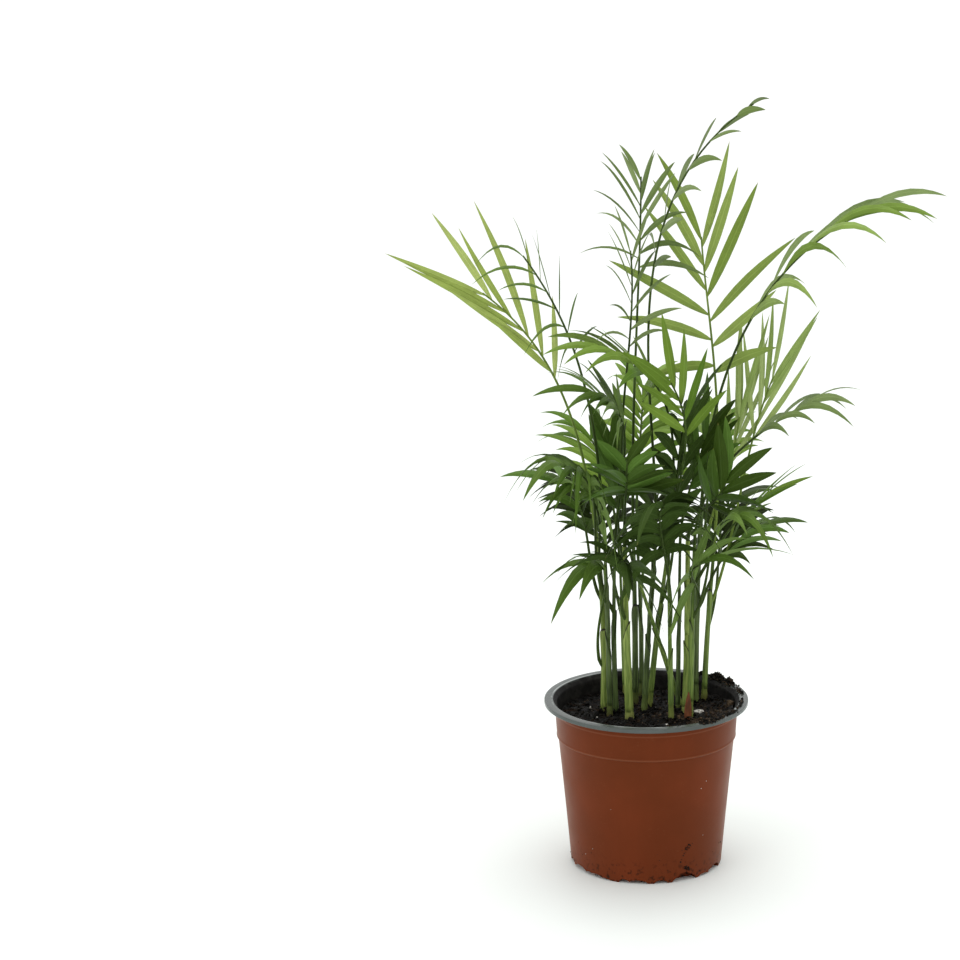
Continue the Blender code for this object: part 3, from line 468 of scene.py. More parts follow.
def leaf_material(name, colour, upper):
    """Living palm leaf: waxy above and matter below, with fine veins along the blade."""
    made, tree, places = new_material(name, {
        "Roughness": 0.42 if upper else 0.6, "IOR": 1.42,
        "Specular IOR Level": 0.22 if upper else 0.12, "Specular Tint": srgb("#e6edb4")})
    across = parts_of(tree, places["UV"])
    veins = add_node(tree, "ShaderNodeTexWave", {"Scale": 2.2, "Distortion": 0.0},
                     {"Vector": places["UV"]}).outputs["Fac"]
    rib = shifted(tree, off_by(tree, across["X"], 0.5), 0.015, 0.06, 1, 0)
    base = srgb(colour)
    dim = tuple(part * 0.78 for part in base[:3]) + (1,)
    pale = tuple(min(1, part * 1.3 + 0.01) for part in base[:3]) + (1,)
    body = turned_to(tree, grain(tree, places["Object"], 12), 0.3, 0.6, dim, base)
    body = turned_to(tree, veins, 0.5, 1, body, dim, 0.55)
    body = turned_to(tree, rib, 0, 1, body, pale, 0.6)
    body = turned_to(tree, across["Y"], 0.955, 1, body, "#8a7a45", 0.5)
    return finished(made, body, maths(tree, "ADD", veins, rib), 0.12, 0.5)


def cane_material(name, colour, dark, foot=None):
    """Green palm cane or stalk: smooth and satin, with pale and dark fibres along it."""
    made, tree, places = new_material(name, {
        "Roughness": 0.42, "IOR": 1.45, "Specular IOR Level": 0.26 if foot else 0.08,
        "Specular Tint": srgb("#eef0c4")})
    place = places["Object"]
    streaks = grain(tree, place, 0.8, 2, (1, 1, 0.04))
    blotch = grain(tree, place, 9, stretch=(1, 1, 0.35))
    body = turned_to(tree, blotch, 0.35, 0.62, dark, colour)
    body = turned_to(tree, streaks, 0.42, 0.58, body, dark, 0.9)
    if foot:
        ragged = maths(tree, "MULTIPLY_ADD", blotch, 14 * MM, parts_of(tree, place)["Z"])
        body = turned_to(tree, ragged, 114 * MM, 96 * MM, body, foot, 0.65)
        body = turned_to(tree, ragged, 101 * MM, 95 * MM, body, "#3e2c1c", 0.9)
    return finished(made, body, streaks, 0.12, 0.6)


def sheath_material(name, colour, dark, edge):
    """Clasping leaf sheath: green and papery, dried dark along its slant upper edge."""
    made, tree, places = new_material(name, {"Roughness": 0.5, "IOR": 1.45,
                                             "Specular IOR Level": 0.25})
    streaks = grain(tree, places["Object"], 0.8, 2, (1, 1, 0.05))
    body = turned_to(tree, streaks, 0.4, 0.62, colour, dark, 0.8)
    along = parts_of(tree, places["UV"])["Y"]
    frayed = maths(tree, "MULTIPLY_ADD", grain(tree, places["Object"], 1.5), 0.03, along)
    body = turned_to(tree, frayed, 0.985, 1.0, body, edge)
    return finished(made, body, streaks, 0.12, 0.6)


def dry_material():
    """Dead leaf sheath: matt orange brown with darker fibres along it."""
    made, tree, places = new_material("dry_sheath", {"Roughness": 0.7})
    streaks = grain(tree, places["Object"], 1.6, 3, (1, 1, 0.2))
    body = turned_to(tree, streaks, 0.35, 0.65, "#4c2a12", "#824a26")
    return finished(made, body, streaks, 0.2, 0.6)


def peat_material(name, dark, light):
    """Moist peat: near black and damp, with brown fibre showing through."""
    made, tree, places = new_material(name, {"Roughness": 0.5, "Specular IOR Level": 0.09})
    coarse = grain(tree, places["Object"], 5, 5)
    fine = grain(tree, places["Object"], 0.9, 4)
    body = turned_to(tree, maths(tree, "MULTIPLY", coarse, fine), 0.24, 0.42, dark, light)
    return finished(made, body, fine, 0.7, 0.9)


def stone_material():
    """Perlite and limestone crumbs: chalky white with grey dirt in their pores."""
    made, tree, places = new_material("perlite", {"Roughness": 0.85})
    dirt = grain(tree, places["Object"], 1.6, 4)
    body = turned_to(tree, dirt, 0.42, 0.6, "#8d8880", "#e6e2db")
    return finished(made, body, dirt, 0.4, 0.7)


def moulded_material(name, colours, roughness, shine, details, tints=None):
    """Injection-moulded polypropylene: satin, faintly mottled, with dust in its fine grain."""
    made, tree, places = new_material(name, {"IOR": 1.45, "Specular IOR Level": shine,
                                             **(tints or {})})
    place = places["Object"]
    colour, other, dust = colours
    body = turned_to(tree, grain(tree, place, 38, 4), 0.35, 0.65, colour, other)
    streaks = grain(tree, place, 7, 3, (1, 1, 0.12))
    body = turned_to(tree, streaks, 0.45, 0.7, body, other, 0.35)
    specks = shifted(tree, grain(tree, place, 1.2, 2), 0.6, 0.75)
    patches = grain(tree, place, 22, 3)
    dusty = maths(tree, "MULTIPLY", specks, shifted(tree, patches, 0.5, 0.7, 0, 0.12))
    body = mixed(tree, dusty, body, dust)
    body = details(tree, place, body, patches, grain(tree, place, 2.6, 5))
    tree.links.new(shifted(tree, patches, 0.3, 0.7, roughness - 0.05, roughness + 0.08),
                   tree.nodes["Principled BSDF"].inputs["Roughness"])
    return finished(made, body, grain(tree, place, 0.8, 2), 0.04, 0.3)


def clay_details(tree, place, body, patches, dirt):
    """Pale painted highlight lines along the band's ledges, and soil splashed low on the wall.
    """
    height = parts_of(tree, place)["Z"]
    # painted highlights: pale lines where light catches the band's ledges
    for ledge, share in ((BAND_BOTTOM + 0.5, 0.2), (BAND_TOP + 0.3, 0.15)):
        off = off_by(tree, height, ledge * MM)
        body = turned_to(tree, off, 0.6 * MM, 0.2 * MM, body, "#9c6a52", share)
    low = shifted(tree, height, 1 * MM, 17 * MM, 1, 0)
    soiled = maths(tree, "MULTIPLY", low, shifted(tree, dirt, 0.54, 0.64, 0, 0.9))
    return mixed(tree, soiled, body, "#1c100c")


def rim_details(tree, place, body, patches, dirt):
    """A painted highlight: a pale glint along the rim's inner edge. The rim also turns near
    black at that edge, below a ragged line.
    """
    radius = length_of(tree, scaled(tree, place, (1, 1, 0)))
    # painted highlight: a pale glint where light catches the rim's inner edge
    off = off_by(tree, radius, (RIM_INNER + 0.8) * MM)
    painted_glint = maths(tree, "MULTIPLY", shifted(tree, off, 0.15 * MM, 0.5 * MM, 0.8, 0),
                shifted(tree, patches, 0.45, 0.6))
    body = mixed(tree, painted_glint, body, "#b9c0bd")
    # near black along the rim's inner edge, below a ragged line
    ragged = maths(tree, "MULTIPLY_ADD", dirt, 3.0 * MM, parts_of(tree, place)["Z"])
    within = shifted(tree, radius, (RIM_INNER - 0.2) * MM, (RIM_INNER + 0.4) * MM, 1, 0)
    low = shifted(tree, ragged, 100.7 * MM, 101.5 * MM, 1, 0)
    return mixed(tree, maths(tree, "MULTIPLY", low, within), body, "#100e0c")


def dark_inner_material():
    """The pot's inner wall: plastic made matt, mottled and near black, turning lighter grey at
    its lip.
    """
    made, tree, places = new_material("peat_stained_polypropylene",
                                      {"Roughness": 0.6, "Specular IOR Level": 0.12})
    inner_mottle = grain(tree, places["Object"], 5, 4)
    body = turned_to(tree, inner_mottle, 0.48, 0.66, "#0c0a08", "#211f1c")
    height = parts_of(tree, places["Object"])["Z"]
    ragged = maths(tree, "MULTIPLY_ADD", inner_mottle, 5 * MM, height)
    body = turned_to(tree, ragged, 102 * MM, 103.2 * MM, body, "#3f4442", 0.7)
    return finished(made, body, inner_mottle, 0.4, 0.6)


def floor_material():
    """Painted studio floor: matt and off-white, white far behind the pot. The fade is painted:
    darker near the pot as painted shade, white far off as painted light that stands in for the
    bright backdrop.
    """
    made, tree, places = new_material("studio_floor", {"Roughness": 0.7})
    paint = mixed(tree, grain(tree, places["Object"], 300, 2), "#e9eeea", "#eef2ef")
    # painted shade near the pot, fading to painted white light far behind it
    away = length_of(tree, places["Object"])
    return finished(made, turned_to(tree, away, 1.0, 2.8, paint, "#ffffff"))


def saved(work, name):
    """The bmesh as a mesh."""
    mesh = bpy.data.meshes.new(name)
    work.to_mesh(mesh)
    work.free()
    return mesh


def add_object(name, data):
    """An object in the scene."""
    thing = bpy.data.objects.new(name, data)
    bpy.context.scene.collection.objects.link(thing)
    return thing


def add_piece(name, work, finishes, angle=None):
    """Make an object of a bmesh, with its finishes, that rides on the plant's one body."""
    mesh = saved(work, name)
    for finish in finishes:
        mesh.materials.append(finish)
    if angle is not None:
        mesh.shade_smooth()
        mesh.set_sharp_from_angle(angle=math.radians(angle))
    piece = add_object(name, mesh)
    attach(piece, "root")
    return piece


def add_copy(work, template, places, finish, marked=0):
    """Add a template's copy with its corners at places in metres.

    Its faces get a finish, and the ones that the template marks with 1 get another.
    """
    count = len(work.verts)
    faces = len(work.faces)
    work.from_mesh(template)
    work.verts.ensure_lookup_table()
    work.faces.ensure_lookup_table()
    for vertex, place in zip(work.verts[count:], places):
        vertex.co = place
    for face in work.faces[faces:]:
        face.material_index = marked if face.material_index == 1 else finish


def eased(profile, radius, steps=3):
    """A closed profile whose corners are rounded by arcs."""
    points = []
    for index, (x, z) in enumerate(profile):
        corner = Vector((x, z))
        before = Vector(profile[index - 1]) - corner
        after = Vector(profile[(index + 1) % len(profile)]) - corner
        if x == 0 or before.length < 1e-6 or after.length < 1e-6:
            points.append(corner)
            continue
        reach = min(radius, before.length / 2.2, after.length / 2.2)
        first = corner + before.normalized() * reach
        last = corner + after.normalized() * reach
        for step in range(steps + 1):
            share = step / steps
            points.append(first.lerp(corner, share).lerp(corner.lerp(last, share), share))
    return points


def spun(profile, steps, closed):
    """Turn a profile of (radius, height) points about the Z axis."""
    work = bmesh.new()
    corners = [work.verts.new((x * MM, 0, z * MM)) for x, z in profile]
    edges = [work.edges.new(pair) for pair in zip(corners, corners[1:])]
    if closed:
        edges.append(work.edges.new((corners[-1], corners[0])))
    bmesh.ops.spin(work, geom=corners + edges, cent=(0, 0, 0), axis=(0, 0, 1),
                   angle=math.tau, steps=steps, use_merge=True)
    bmesh.ops.remove_doubles(work, verts=work.verts, dist=0.00001)
    bmesh.ops.recalc_face_normals(work, faces=work.faces)
    return work


def wall_radius(height):
    """The pot's outer radius at a height."""
    if height < BAND_BOTTOM:
        share = height / BAND_BOTTOM
        return FOOT_RADIUS + (WAIST_RADIUS - FOOT_RADIUS) * share + BELLY * share ** 2
    share = (height - BAND_BOTTOM) / (UNDER_RIM - BAND_BOTTOM)
    return NECK_RADIUS - BAND_TAPER * (1 - share)


def bore_radius(height):
    """The pot's inner radius at a height."""
    foot = FOOT_RADIUS - WALL
    bend = WAIST_RADIUS - WALL
    neck = wall_radius(UNDER_RIM) - WALL
    if height < BAND_BOTTOM:
        return foot + (bend - foot) * (height - FLOOR) / (BAND_BOTTOM - FLOOR)
    return bend + (neck - bend) * (height - BAND_BOTTOM) / (UNDER_RIM - BAND_BOTTOM)


def pot_profile():
    """The pot's section: the rim, the band between its ledges, the wall, and the bore."""
    top = wall_radius(BAND_TOP)
    low = wall_radius(BAND_BOTTOM)
    ledge = BAND_BOTTOM + BAND_STEP
    profile = [(RIM_INNER, POT_HEIGHT), (RIM_RADIUS, POT_HEIGHT), (RIM_RADIUS, UNDER_RIM),
               (wall_radius(UNDER_RIM) + 0.3, UNDER_RIM),
               (top + 0.3, BAND_TOP + 0.9), (top + LEDGE, BAND_TOP + 0.3),
               (top, BAND_TOP - 0.3),
               (low, ledge + 0.9), (low + LEDGE, ledge), (low + LEDGE, ledge - 0.5)]
    profile += [(wall_radius(height), height)
                for height in (BAND_BOTTOM - 0.4, BAND_BOTTOM * 0.75, BAND_BOTTOM * 0.5,
                               BAND_BOTTOM * 0.25)]
    profile += [(FOOT_RADIUS, 0), (0, 0), (0, SOLE)]
    profile += [(bore_radius(height), height) for height in (SOLE, BAND_BOTTOM, UNDER_RIM)]
    return profile


def wall_finish(middle):
    """Which finish a face of the pot has: clay, grey on the rim, or near black inside."""
    radius = math.hypot(middle.x, middle.y) / MM
    height = middle.z / MM
    lined = height > SOLE - 0.1 and radius < wall_radius(height) - 0.3
    if lined or height > UNDER_RIM and radius < RIM_INNER - 0.1:
        return 2
    return 1 if height > UNDER_RIM - 0.1 else 0


def notch_cutter(turn, width, height):
    """An arch that cuts the pot's foot at a heading."""
    work = bmesh.new()
    bmesh.ops.create_cone(work, cap_ends=True, segments=32, radius1=1, radius2=1, depth=1)
    stretch = Matrix.Diagonal((height * MM, width / 2 * MM, NOTCH_REACH * MM, 1))
    lay_down = Matrix.Rotation(math.radians(90), 4, "Y")
    outward = Matrix.Translation((FOOT_RADIUS * MM, 0, 0))
    work.transform(Matrix.Rotation(math.radians(turn), 4, "Z") @ outward @ lay_down @ stretch)
    return bpy.data.objects.new("notch", saved(work, "notch"))


def make_pot():
    """The pot: a turned wall with eased edges, and the notches cut out of its foot."""
    work = spun(eased(pot_profile(), EASE), POT_STEPS, closed=True)
    for face in work.faces:
        face.material_index = wall_finish(face.calc_center_median())
    clay = moulded_material("terracotta_polypropylene", ("#672d17", "#5d2914", "#94654a"),
                            0.36, 0.1, clay_details,
                            {"Specular Tint": srgb("#ffe0b8"), "Sheen Weight": 0.12,
                             "Sheen Tint": srgb("#e09a60")})
    grey = moulded_material("grey_polypropylene", ("#4e5452", "#434946", "#868a88"),
                            0.26, 0.4, rim_details)
    pot = add_piece("pot_shell", work, [clay, grey, dark_inner_material()])
    dice = random.Random(f"{SEED} notches")
    spacing = 360 / len(NOTCH_DEPTHS)
    gaps = [(NOTCH_TURN + index * spacing, NOTCH_WIDTH, NOTCH_HEIGHT * depth)
            for index, depth in enumerate(NOTCH_DEPTHS)]
    gaps += CHIPS
    for index in range(NICKS):
        turn = NOTCH_TURN + (index + 0.5) * 360 / NICKS + dice.uniform(-NICK_SHIFT, NICK_SHIFT)
        gaps.append((turn, dice.uniform(*NICK_WIDTHS), dice.uniform(*NICK_HEIGHTS)))
    cutters = bpy.data.collections.new("notches")
    bpy.context.scene.collection.children.link(cutters)
    for gap in gaps:
        cutters.objects.link(notch_cutter(*gap))
    cut = pot.modifiers.new("Notches", "BOOLEAN")
    cut.operation = "DIFFERENCE"
    cut.operand_type = "COLLECTION"
    cut.collection = cutters
    bpy.context.view_layer.update()
    graph = bpy.context.evaluated_depsgraph_get()
    pot.data = bpy.data.meshes.new_from_object(pot.evaluated_get(graph))
    pot.modifiers.clear()
    for cutter in list(cutters.objects):
        bpy.data.objects.remove(cutter)
    bpy.data.collections.remove(cutters)
    pot.data.shade_smooth()
    pot.data.set_sharp_from_angle(angle=math.radians(POT_SHARP))
    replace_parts(pot, "pot")


def soil_height(x, y):
    """The soil's even surface over a point, higher towards the heaped side."""
    radius = math.hypot(x, y)
    toward = math.cos(math.atan2(y, x) - math.radians(HEAP_HEADING))
    heap = SOIL_HEAP * max(0, toward) ** 2 * min(1, radius / RIM_INNER) ** 3
    swell = SOIL_SWELL * math.sin(x / 9) * math.cos(y / 11)
    return SOIL_LEVEL + heap + swell


def soil_lumps(x, y):
    """How far the soil's lumps stand over the even surface."""
    lift = 0
    for size, height in LUMPS:
        lift += height * noise.noise(Vector((x / size, y / size, size)))
    return lift


def make_soil():
    """The soil: a turned plug with a lumpy top."""
    low = SOLE + GAP
    clear = GAP + 0.2
    outer = bore_radius(SOIL_LEVEL) - clear
    profile = [(outer * ring / SOIL_RINGS, SOIL_LEVEL) for ring in range(SOIL_RINGS + 1)]
    profile += [(bore_radius(low) - clear, low + GAP), (bore_radius(low) - 2, low), (0, low)]
    work = spun(profile, SOIL_STEPS, closed=False)
    for vertex in work.verts:
        x, y, z = vertex.co / MM
        if z > SOIL_LEVEL - GAP:
            vertex.co.z = (soil_height(x, y) + soil_lumps(x, y)) * MM
    peat = peat_material("peat", "#050403", "#13100b")
    soil = add_piece("peat_bed", work, [peat], 60)
    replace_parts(soil, "soil")
    return soil


def mesh_tree(mesh):
    """The search tree of a mesh's faces."""
    corners = [vertex.co.copy() for vertex in mesh.vertices]
    return BVHTree.FromPolygons(corners, [tuple(face.vertices) for face in mesh.polygons])


def ground_height(ground, spot):
    """The height of the soil's finished surface under or over a spot."""
    hit = ground.ray_cast(Vector((spot.x, spot.y, 2 * POT_HEIGHT)) * MM, -UP)[0]
    return hit.z / MM


def on_wall(heading, height, proud):
    """A spot on the pot's outer wall, proud of it by a little."""
    spot = direction(heading, 90) * (wall_radius(height) + proud)
    spot.z = height
    return spot


def crumb_template():
    """The small ball that every crumb is shaped from."""
    work = bmesh.new()
    bmesh.ops.create_icosphere(work, subdivisions=1, radius=1)
    return saved(work, "crumb")


def add_crumb(work, template, spot, size, dice, finish):
    """Add one crumb: the template squashed, turned and roughened."""
    turn = Matrix.Rotation(dice.uniform(0, math.tau), 3, direction(dice.uniform(0, 360), 60))
    stretch = Vector([dice.uniform(*span) for span in CRUMB_STRETCH])
    places = []
    for vertex in template.vertices:
        shaped = vertex.co * dice.uniform(*CRUMB_ROUGHNESS) * stretch
        places.append((spot + turn @ shaped * size) * MM)
    add_copy(work, template, places, finish)


def scatter_crumbs(work, template, ground, dice):
    """Crumbs all over the soil, with more bark on the heaped side."""
    reach = bore_radius(SOIL_LEVEL) - 1.2
    usual, mean, spread, limit = CRUMB_SIZES
    plain, heaped = BARK_SHARES
    for _ in range(CRUMBS):
        heading = dice.uniform(0, 360)
        spot = direction(heading, 90) * reach * math.sqrt(dice.random())
        size = min(limit, usual * math.exp(dice.gauss(mean, spread)))
        spot.z = ground_height(ground, spot) + size * CRUMB_SINK
        toward = math.cos(math.radians(heading - HEAP_HEADING))
        bark = heaped if toward > 0.75 else plain
        finish = 2 if dice.random() < bark else dice.choice((0, 0, 0, 1))
        add_crumb(work, template, spot, size, dice, finish)


def pile_on_rim(work, template, clump, dice):
    """One clump of crumbs spilt over the rim."""
    middle, round_reach, across_reach, pile, count = clump
    for _ in range(count):
        turn = dice.gauss(0, 0.5)
        shift = dice.gauss(0, 0.6)
        radius = min(RIM_RADIUS, RIM_INNER + 1.6 + shift * across_reach)
        size = dice.uniform(*RIM_CRUMB_SIZES) * (1.2 - 0.4 * min(1, abs(turn)))
        spot = direction(middle + turn * round_reach, 90) * radius
        height = pile * math.exp(-1.5 * (turn ** 2 + shift ** 2)) * dice.random()
        spot.z = POT_HEIGHT + height + size * CRUMB_SINK
        if radius < RIM_INNER:
            spot.z -= (RIM_INNER - radius) * 1.1
        add_crumb(work, template, spot, size, dice, dice.choice((0, 0, 1, 2)))


def heap_at_foot(work, template, stem, ground, dice):
    """Crumbs heaped round a stem's foot."""
    for _ in range(FOOT_CRUMBS):
        away = direction(dice.uniform(0, 360), 90)
        off = dice.uniform(*FOOT_REACH)
        spot = Vector((stem.foot_x, stem.foot_y, 0)) + away * (stem_radius(stem, 0) + off)
        size = dice.uniform(*FOOT_CRUMB_SIZES)
        pile = FOOT_HEAP * (1 - off / FOOT_HEAP) * dice.random()
        spot.z = ground_height(ground, spot) + size * CRUMB_SINK + pile
        add_crumb(work, template, spot, size, dice, dice.choice((0, 0, 1)))


def make_crumbs(ground, stems):
    """Loose peat crumbs on the soil, round the stems, on the rim and on the pot's wall."""
    dice = random.Random(f"{SEED} crumbs")
    template = crumb_template()
    work = bmesh.new()
    scatter_crumbs(work, template, ground, dice)
    for clump in CLUMPS:
        pile_on_rim(work, template, clump, dice)
    for stem in stems:
        heap_at_foot(work, template, stem, ground, dice)
    low, rise = SPLASH_HEIGHTS
    for _ in range(SPLASHES):
        heading = dice.uniform(0, 360)
        spot = on_wall(heading, low + rise * dice.random() ** 3, 0.05)
        size = dice.uniform(*SPLASH_SIZES)
        add_crumb(work, template, spot, size, dice, dice.choice((0, 1)))
    low, rise = SMEAR_HEIGHTS
    for _ in range(SMEAR_CRUMBS):
        place = dice.choice((dice.uniform(0, 1), dice.uniform(0, 0.2), dice.uniform(0.8, 1)))
        heading = SMEAR_HEADING - SMEAR_BEND * math.sin(math.pi * place) + dice.gauss(0, 1.0)
        spot = on_wall(heading, low + rise * place, 0.03)
        size = dice.uniform(*SMEAR_SIZES)
        add_crumb(work, template, spot, size, dice, dice.choice((0, 0, 1)))
    finishes = [peat_material("peat_crumb", "#070604", "#16120c"),
                peat_material("peat_crumb_brown", "#15110b", "#30271b"),
                peat_material("bark_crumb", "#2e241a", "#64533f")]
    add_piece("peat_crumbs", work, finishes)


def make_stones(ground):
    """The white stone on the right, and white grit scattered on the soil and the pot."""
    dice = random.Random(f"{SEED} stones")
    template = crumb_template()
    work = bmesh.new()
    stone = Vector((*STONE, 0))
    stone.z = ground_height(ground, stone) + 0.7
    bmesh.ops.create_icosphere(work, subdivisions=3, radius=1)
    for vertex in work.verts:
        bulge = 1 + STONE_BULGES * noise.noise(vertex.co * 1.7)
        vertex.co = (stone + vertex.co * Vector(STONE_SHAPE) * bulge) * MM
    for x, y in GRITS:
        spot = Vector((x, y, 0))
        spot.z = ground_height(ground, spot) + 0.3
        add_crumb(work, template, spot, dice.uniform(0.7, 1.0), dice, 0)
    for heading, height in SPECKS:
        add_crumb(work, template, on_wall(heading, height, 0.05), 0.3, dice, 0)
    add_piece("perlite_stones", work, [stone_material()], 50)


def long_cone(sides, top, shares, ends):
    """A cone or tube along +Z from 0 to 1, with a foot of radius 1, cut across at shares."""
    work = bmesh.new()
    bmesh.ops.create_cone(work, cap_ends=ends, segments=sides, radius1=1, radius2=top, depth=1)
    bmesh.ops.translate(work, verts=work.verts, vec=(0, 0, 0.5))
    for share in shares:
        parts = work.verts[:] + work.edges[:] + work.faces[:]
        bmesh.ops.bisect_plane(work, geom=parts, plane_co=(0, 0, share), plane_no=(0, 0, 1))
    return work


def tube_template(sides, count, ends):
    """A straight tube of radius 1 cut in count even lengths, with its own UV map."""
    work = long_cone(sides, 1, [index / count for index in range(1, count)], ends)
    layer = work.loops.layers.uv.new("round_and_along")
    for face in work.faces:
        turns = [math.atan2(loop.vert.co.y, loop.vert.co.x) / math.tau % 1
                 for loop in face.loops]
        for loop, turn in zip(face.loops, turns):
            if max(turns) - turn > 0.5:
                turn += 1
            loop[layer].uv = (turn, loop.vert.co.z)
    return saved(work, "tube_template")


def add_tube(work, template, path, radius, level=Vector((1, 0, 0))):
    """Add the template bent along a path. radius takes a share and a turn round the tube."""
    places = []
    for vertex in template.vertices:
        share = vertex.co.z
        turn = math.atan2(vertex.co.y, vertex.co.x)
        hub = math.hypot(vertex.co.x, vertex.co.y)
        along = (path(min(1, share + 0.01)) - path(max(0, share - 0.01))).normalized()
        side = (level - along * level.dot(along)).normalized()
        spoke = side * math.cos(turn) + along.cross(side) * math.sin(turn)
        places.append((path(share) + spoke * hub * radius(share, turn)) * MM)
    add_copy(work, template, places, 0)


def make_fibres(ground):
    """Fine root and peat fibres lying on the soil."""
    dice = random.Random(f"{SEED} fibres")
    template = tube_template(4, 5, True)
    reach = bore_radius(SOIL_LEVEL) - 5
    work = bmesh.new()
    for _ in range(FIBRES):
        heading = dice.uniform(0, 360)
        spot = direction(heading, 90) * reach * math.sqrt(dice.random())
        spot.z = ground_height(ground, spot) + 0.3
        ahead = direction(dice.uniform(0, 360), dice.uniform(*FIBRE_LEANS))
        ahead *= dice.uniform(*FIBRE_LENGTHS)
        bend = direction(dice.uniform(0, 360), 70) * dice.uniform(*FIBRE_BENDS)
        thick = dice.uniform(*FIBRE_RADII)

        def path(share):
            return spot + ahead * (share - 0.5) + bend * math.sin(math.pi * share)

        add_tube(work, template, path, lambda share, turn: thick * (1 - 0.5 * share), UP)
    fibre = peat_material("root_fibre", "#20140c", "#4a3320")
    add_piece("soil_fibres", work, [fibre], 40)


def stem_point(stem, share):
    """A point on a stem's axis, from its foot at 0 to its tip at 1."""
    foot = Vector((stem.foot_x, stem.foot_y, stem.foot_z))
    tip = Vector((stem.tip_x, stem.tip_y, stem.tip_z))
    sideways = Vector((stem.bow, 0, 0)) * math.sin(math.pi * share)
    return foot.lerp(tip, share) + sideways


def stem_radius(stem, share):
    """A stem's radius: widest at its foot, with its true taper."""
    flare = STEM_FLARE * max(0, 1 - share / FLARE_REACH) ** 2
    return stem.radius * (1 + flare - (1 - STEM_TAPER) * share)


def seated_stems():
    """The stems, with their feet where the frame has them."""
    seated = []
    for stem in STEMS:
        axis = (stem_point(stem, 0.02) - stem_point(stem, 0)).normalized()
        slope = math.sqrt(max(0, 1 - axis.z ** 2))
        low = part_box(stem.name)[0].z / MM + stem_radius(stem, 0) * slope
        seated.append(stem._replace(foot_z=low))
    return seated


def make_canes(stems):
    """Every stem: a fine cane with its leaf scars, sunk in the soil."""
    template = tube_template(14, 56, True)
    finishes = [
        cane_material("cane_olive", "#8c9d50", "#55692c", "#a4a862"),
        cane_material("cane_green", "#718842", "#3d5320", "#8f9650"),
        cane_material("cane_dark", "#556a3a", "#2f401d", "#6f7941"),
    ]
    ring, ring_reach = SCAR_RING
    node, node_reach = SCAR_NODE
    for number, stem in enumerate(stems):
        dice = random.Random(f"{SEED} {stem.name}")
        length = stem.tip_z - stem.foot_z
        scars = []
        place = dice.uniform(*FIRST_SCAR)
        while place < 0.97:
            scars.append((place, dice.uniform(-SCAR_TILT, SCAR_TILT)))
            place += dice.uniform(*SCAR_STEPS) / length
        sunk = STEM_SUNK / length

        def path(share):
            place = share * (1 + sunk) - sunk
            if place < 0:
                return stem_point(stem, 0) * 2 - stem_point(stem, -place)
            return stem_point(stem, place)

        def radius(share, turn):
            place = max(0, share * (1 + sunk) - sunk)
            swell = 0
            for scar, tilt in scars:
                off = (place - scar - tilt * math.cos(turn)) * length
                swell += ring * math.exp(-(off / ring_reach) ** 2)
                swell += node * math.exp(-abs(off) / node_reach)
            flute = 0.03 * math.sin(turn * 3 + number) + 0.02 * math.sin(turn * 5 + place * 9)
            return stem_radius(stem, place) * (1 + swell + flute)

        work = bmesh.new()
        add_tube(work, template, path, radius)
        finish = finishes[CANE_TONES[number]]
        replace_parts(add_piece(f"{stem.name}_cane", work, [finish], 45), stem.name)


def sheath_place(corner, stem, low, reach, lift, facing, slant):
    """Where a tube template's corner lies on a sheath, which opens towards its slant top."""
    along = corner.z
    turn = math.atan2(corner.y, corner.x)
    cut = 1 - slant * (0.5 - 0.5 * math.cos(turn - facing)) ** 1.5
    place = low + reach * along * cut
    opened = max(0, along - SHEATH_OPENING) / (1 - SHEATH_OPENING)
    open_up = SHEATH_FLARE * opened ** 2 * (1 if cut > 0.8 else 0.4)
    spoke = Vector((math.cos(turn), math.sin(turn), 0))
    rise = min(1, along / 0.15)
    wide = stem_radius(stem, min(1, place)) * (1 + 0.06 * rise)
    wide += 0.03 + lift * rise + open_up
    return (stem_point(stem, place) + spoke * wide) * MM


def make_sheaths(stems):
    """Sheaths that clasp each cane, cut off slantwise at the top and dried at its edge."""
    template = tube_template(18, 14, False)
    work = bmesh.new()
    for stem, tone in zip(stems, CANE_TONES):
        dice = random.Random(f"{SEED} {stem.name} sheaths")
        length = stem.tip_z - stem.foot_z
        start = dice.uniform(0.0, 0.1)
        for index in range(dice.choice(SHEATH_COUNTS)):
            reach = dice.uniform(*SHEATH_LENGTHS) / length
            if start + reach > 0.98:
                break
            facing = dice.uniform(0, math.tau)
            slant = dice.uniform(*SHEATH_SLANTS)
            lift = SHEATH_LIFT + SHEATH_STEP * index
            places = [sheath_place(vertex.co, stem, start, reach, lift, facing, slant)
                      for vertex in template.vertices]
            add_copy(work, template, places, tone)
            start += reach * dice.uniform(0.85, 1.15)
    finishes = [
        sheath_material("sheath_olive", "#8a9c50", "#506628", "#2c2a18"),
        sheath_material("sheath_green", "#748a42", "#435828", "#2c2a18"),
        sheath_material("sheath_dark", "#57693a", "#313f20", "#1e1e12"),
    ]
    piece = add_piece("leaf_sheaths", work, finishes, 60)
    wall = piece.modifiers.new("Wall", "SOLIDIFY")
    wall.thickness = SHEATH_WALL * MM
    wall.offset = -1


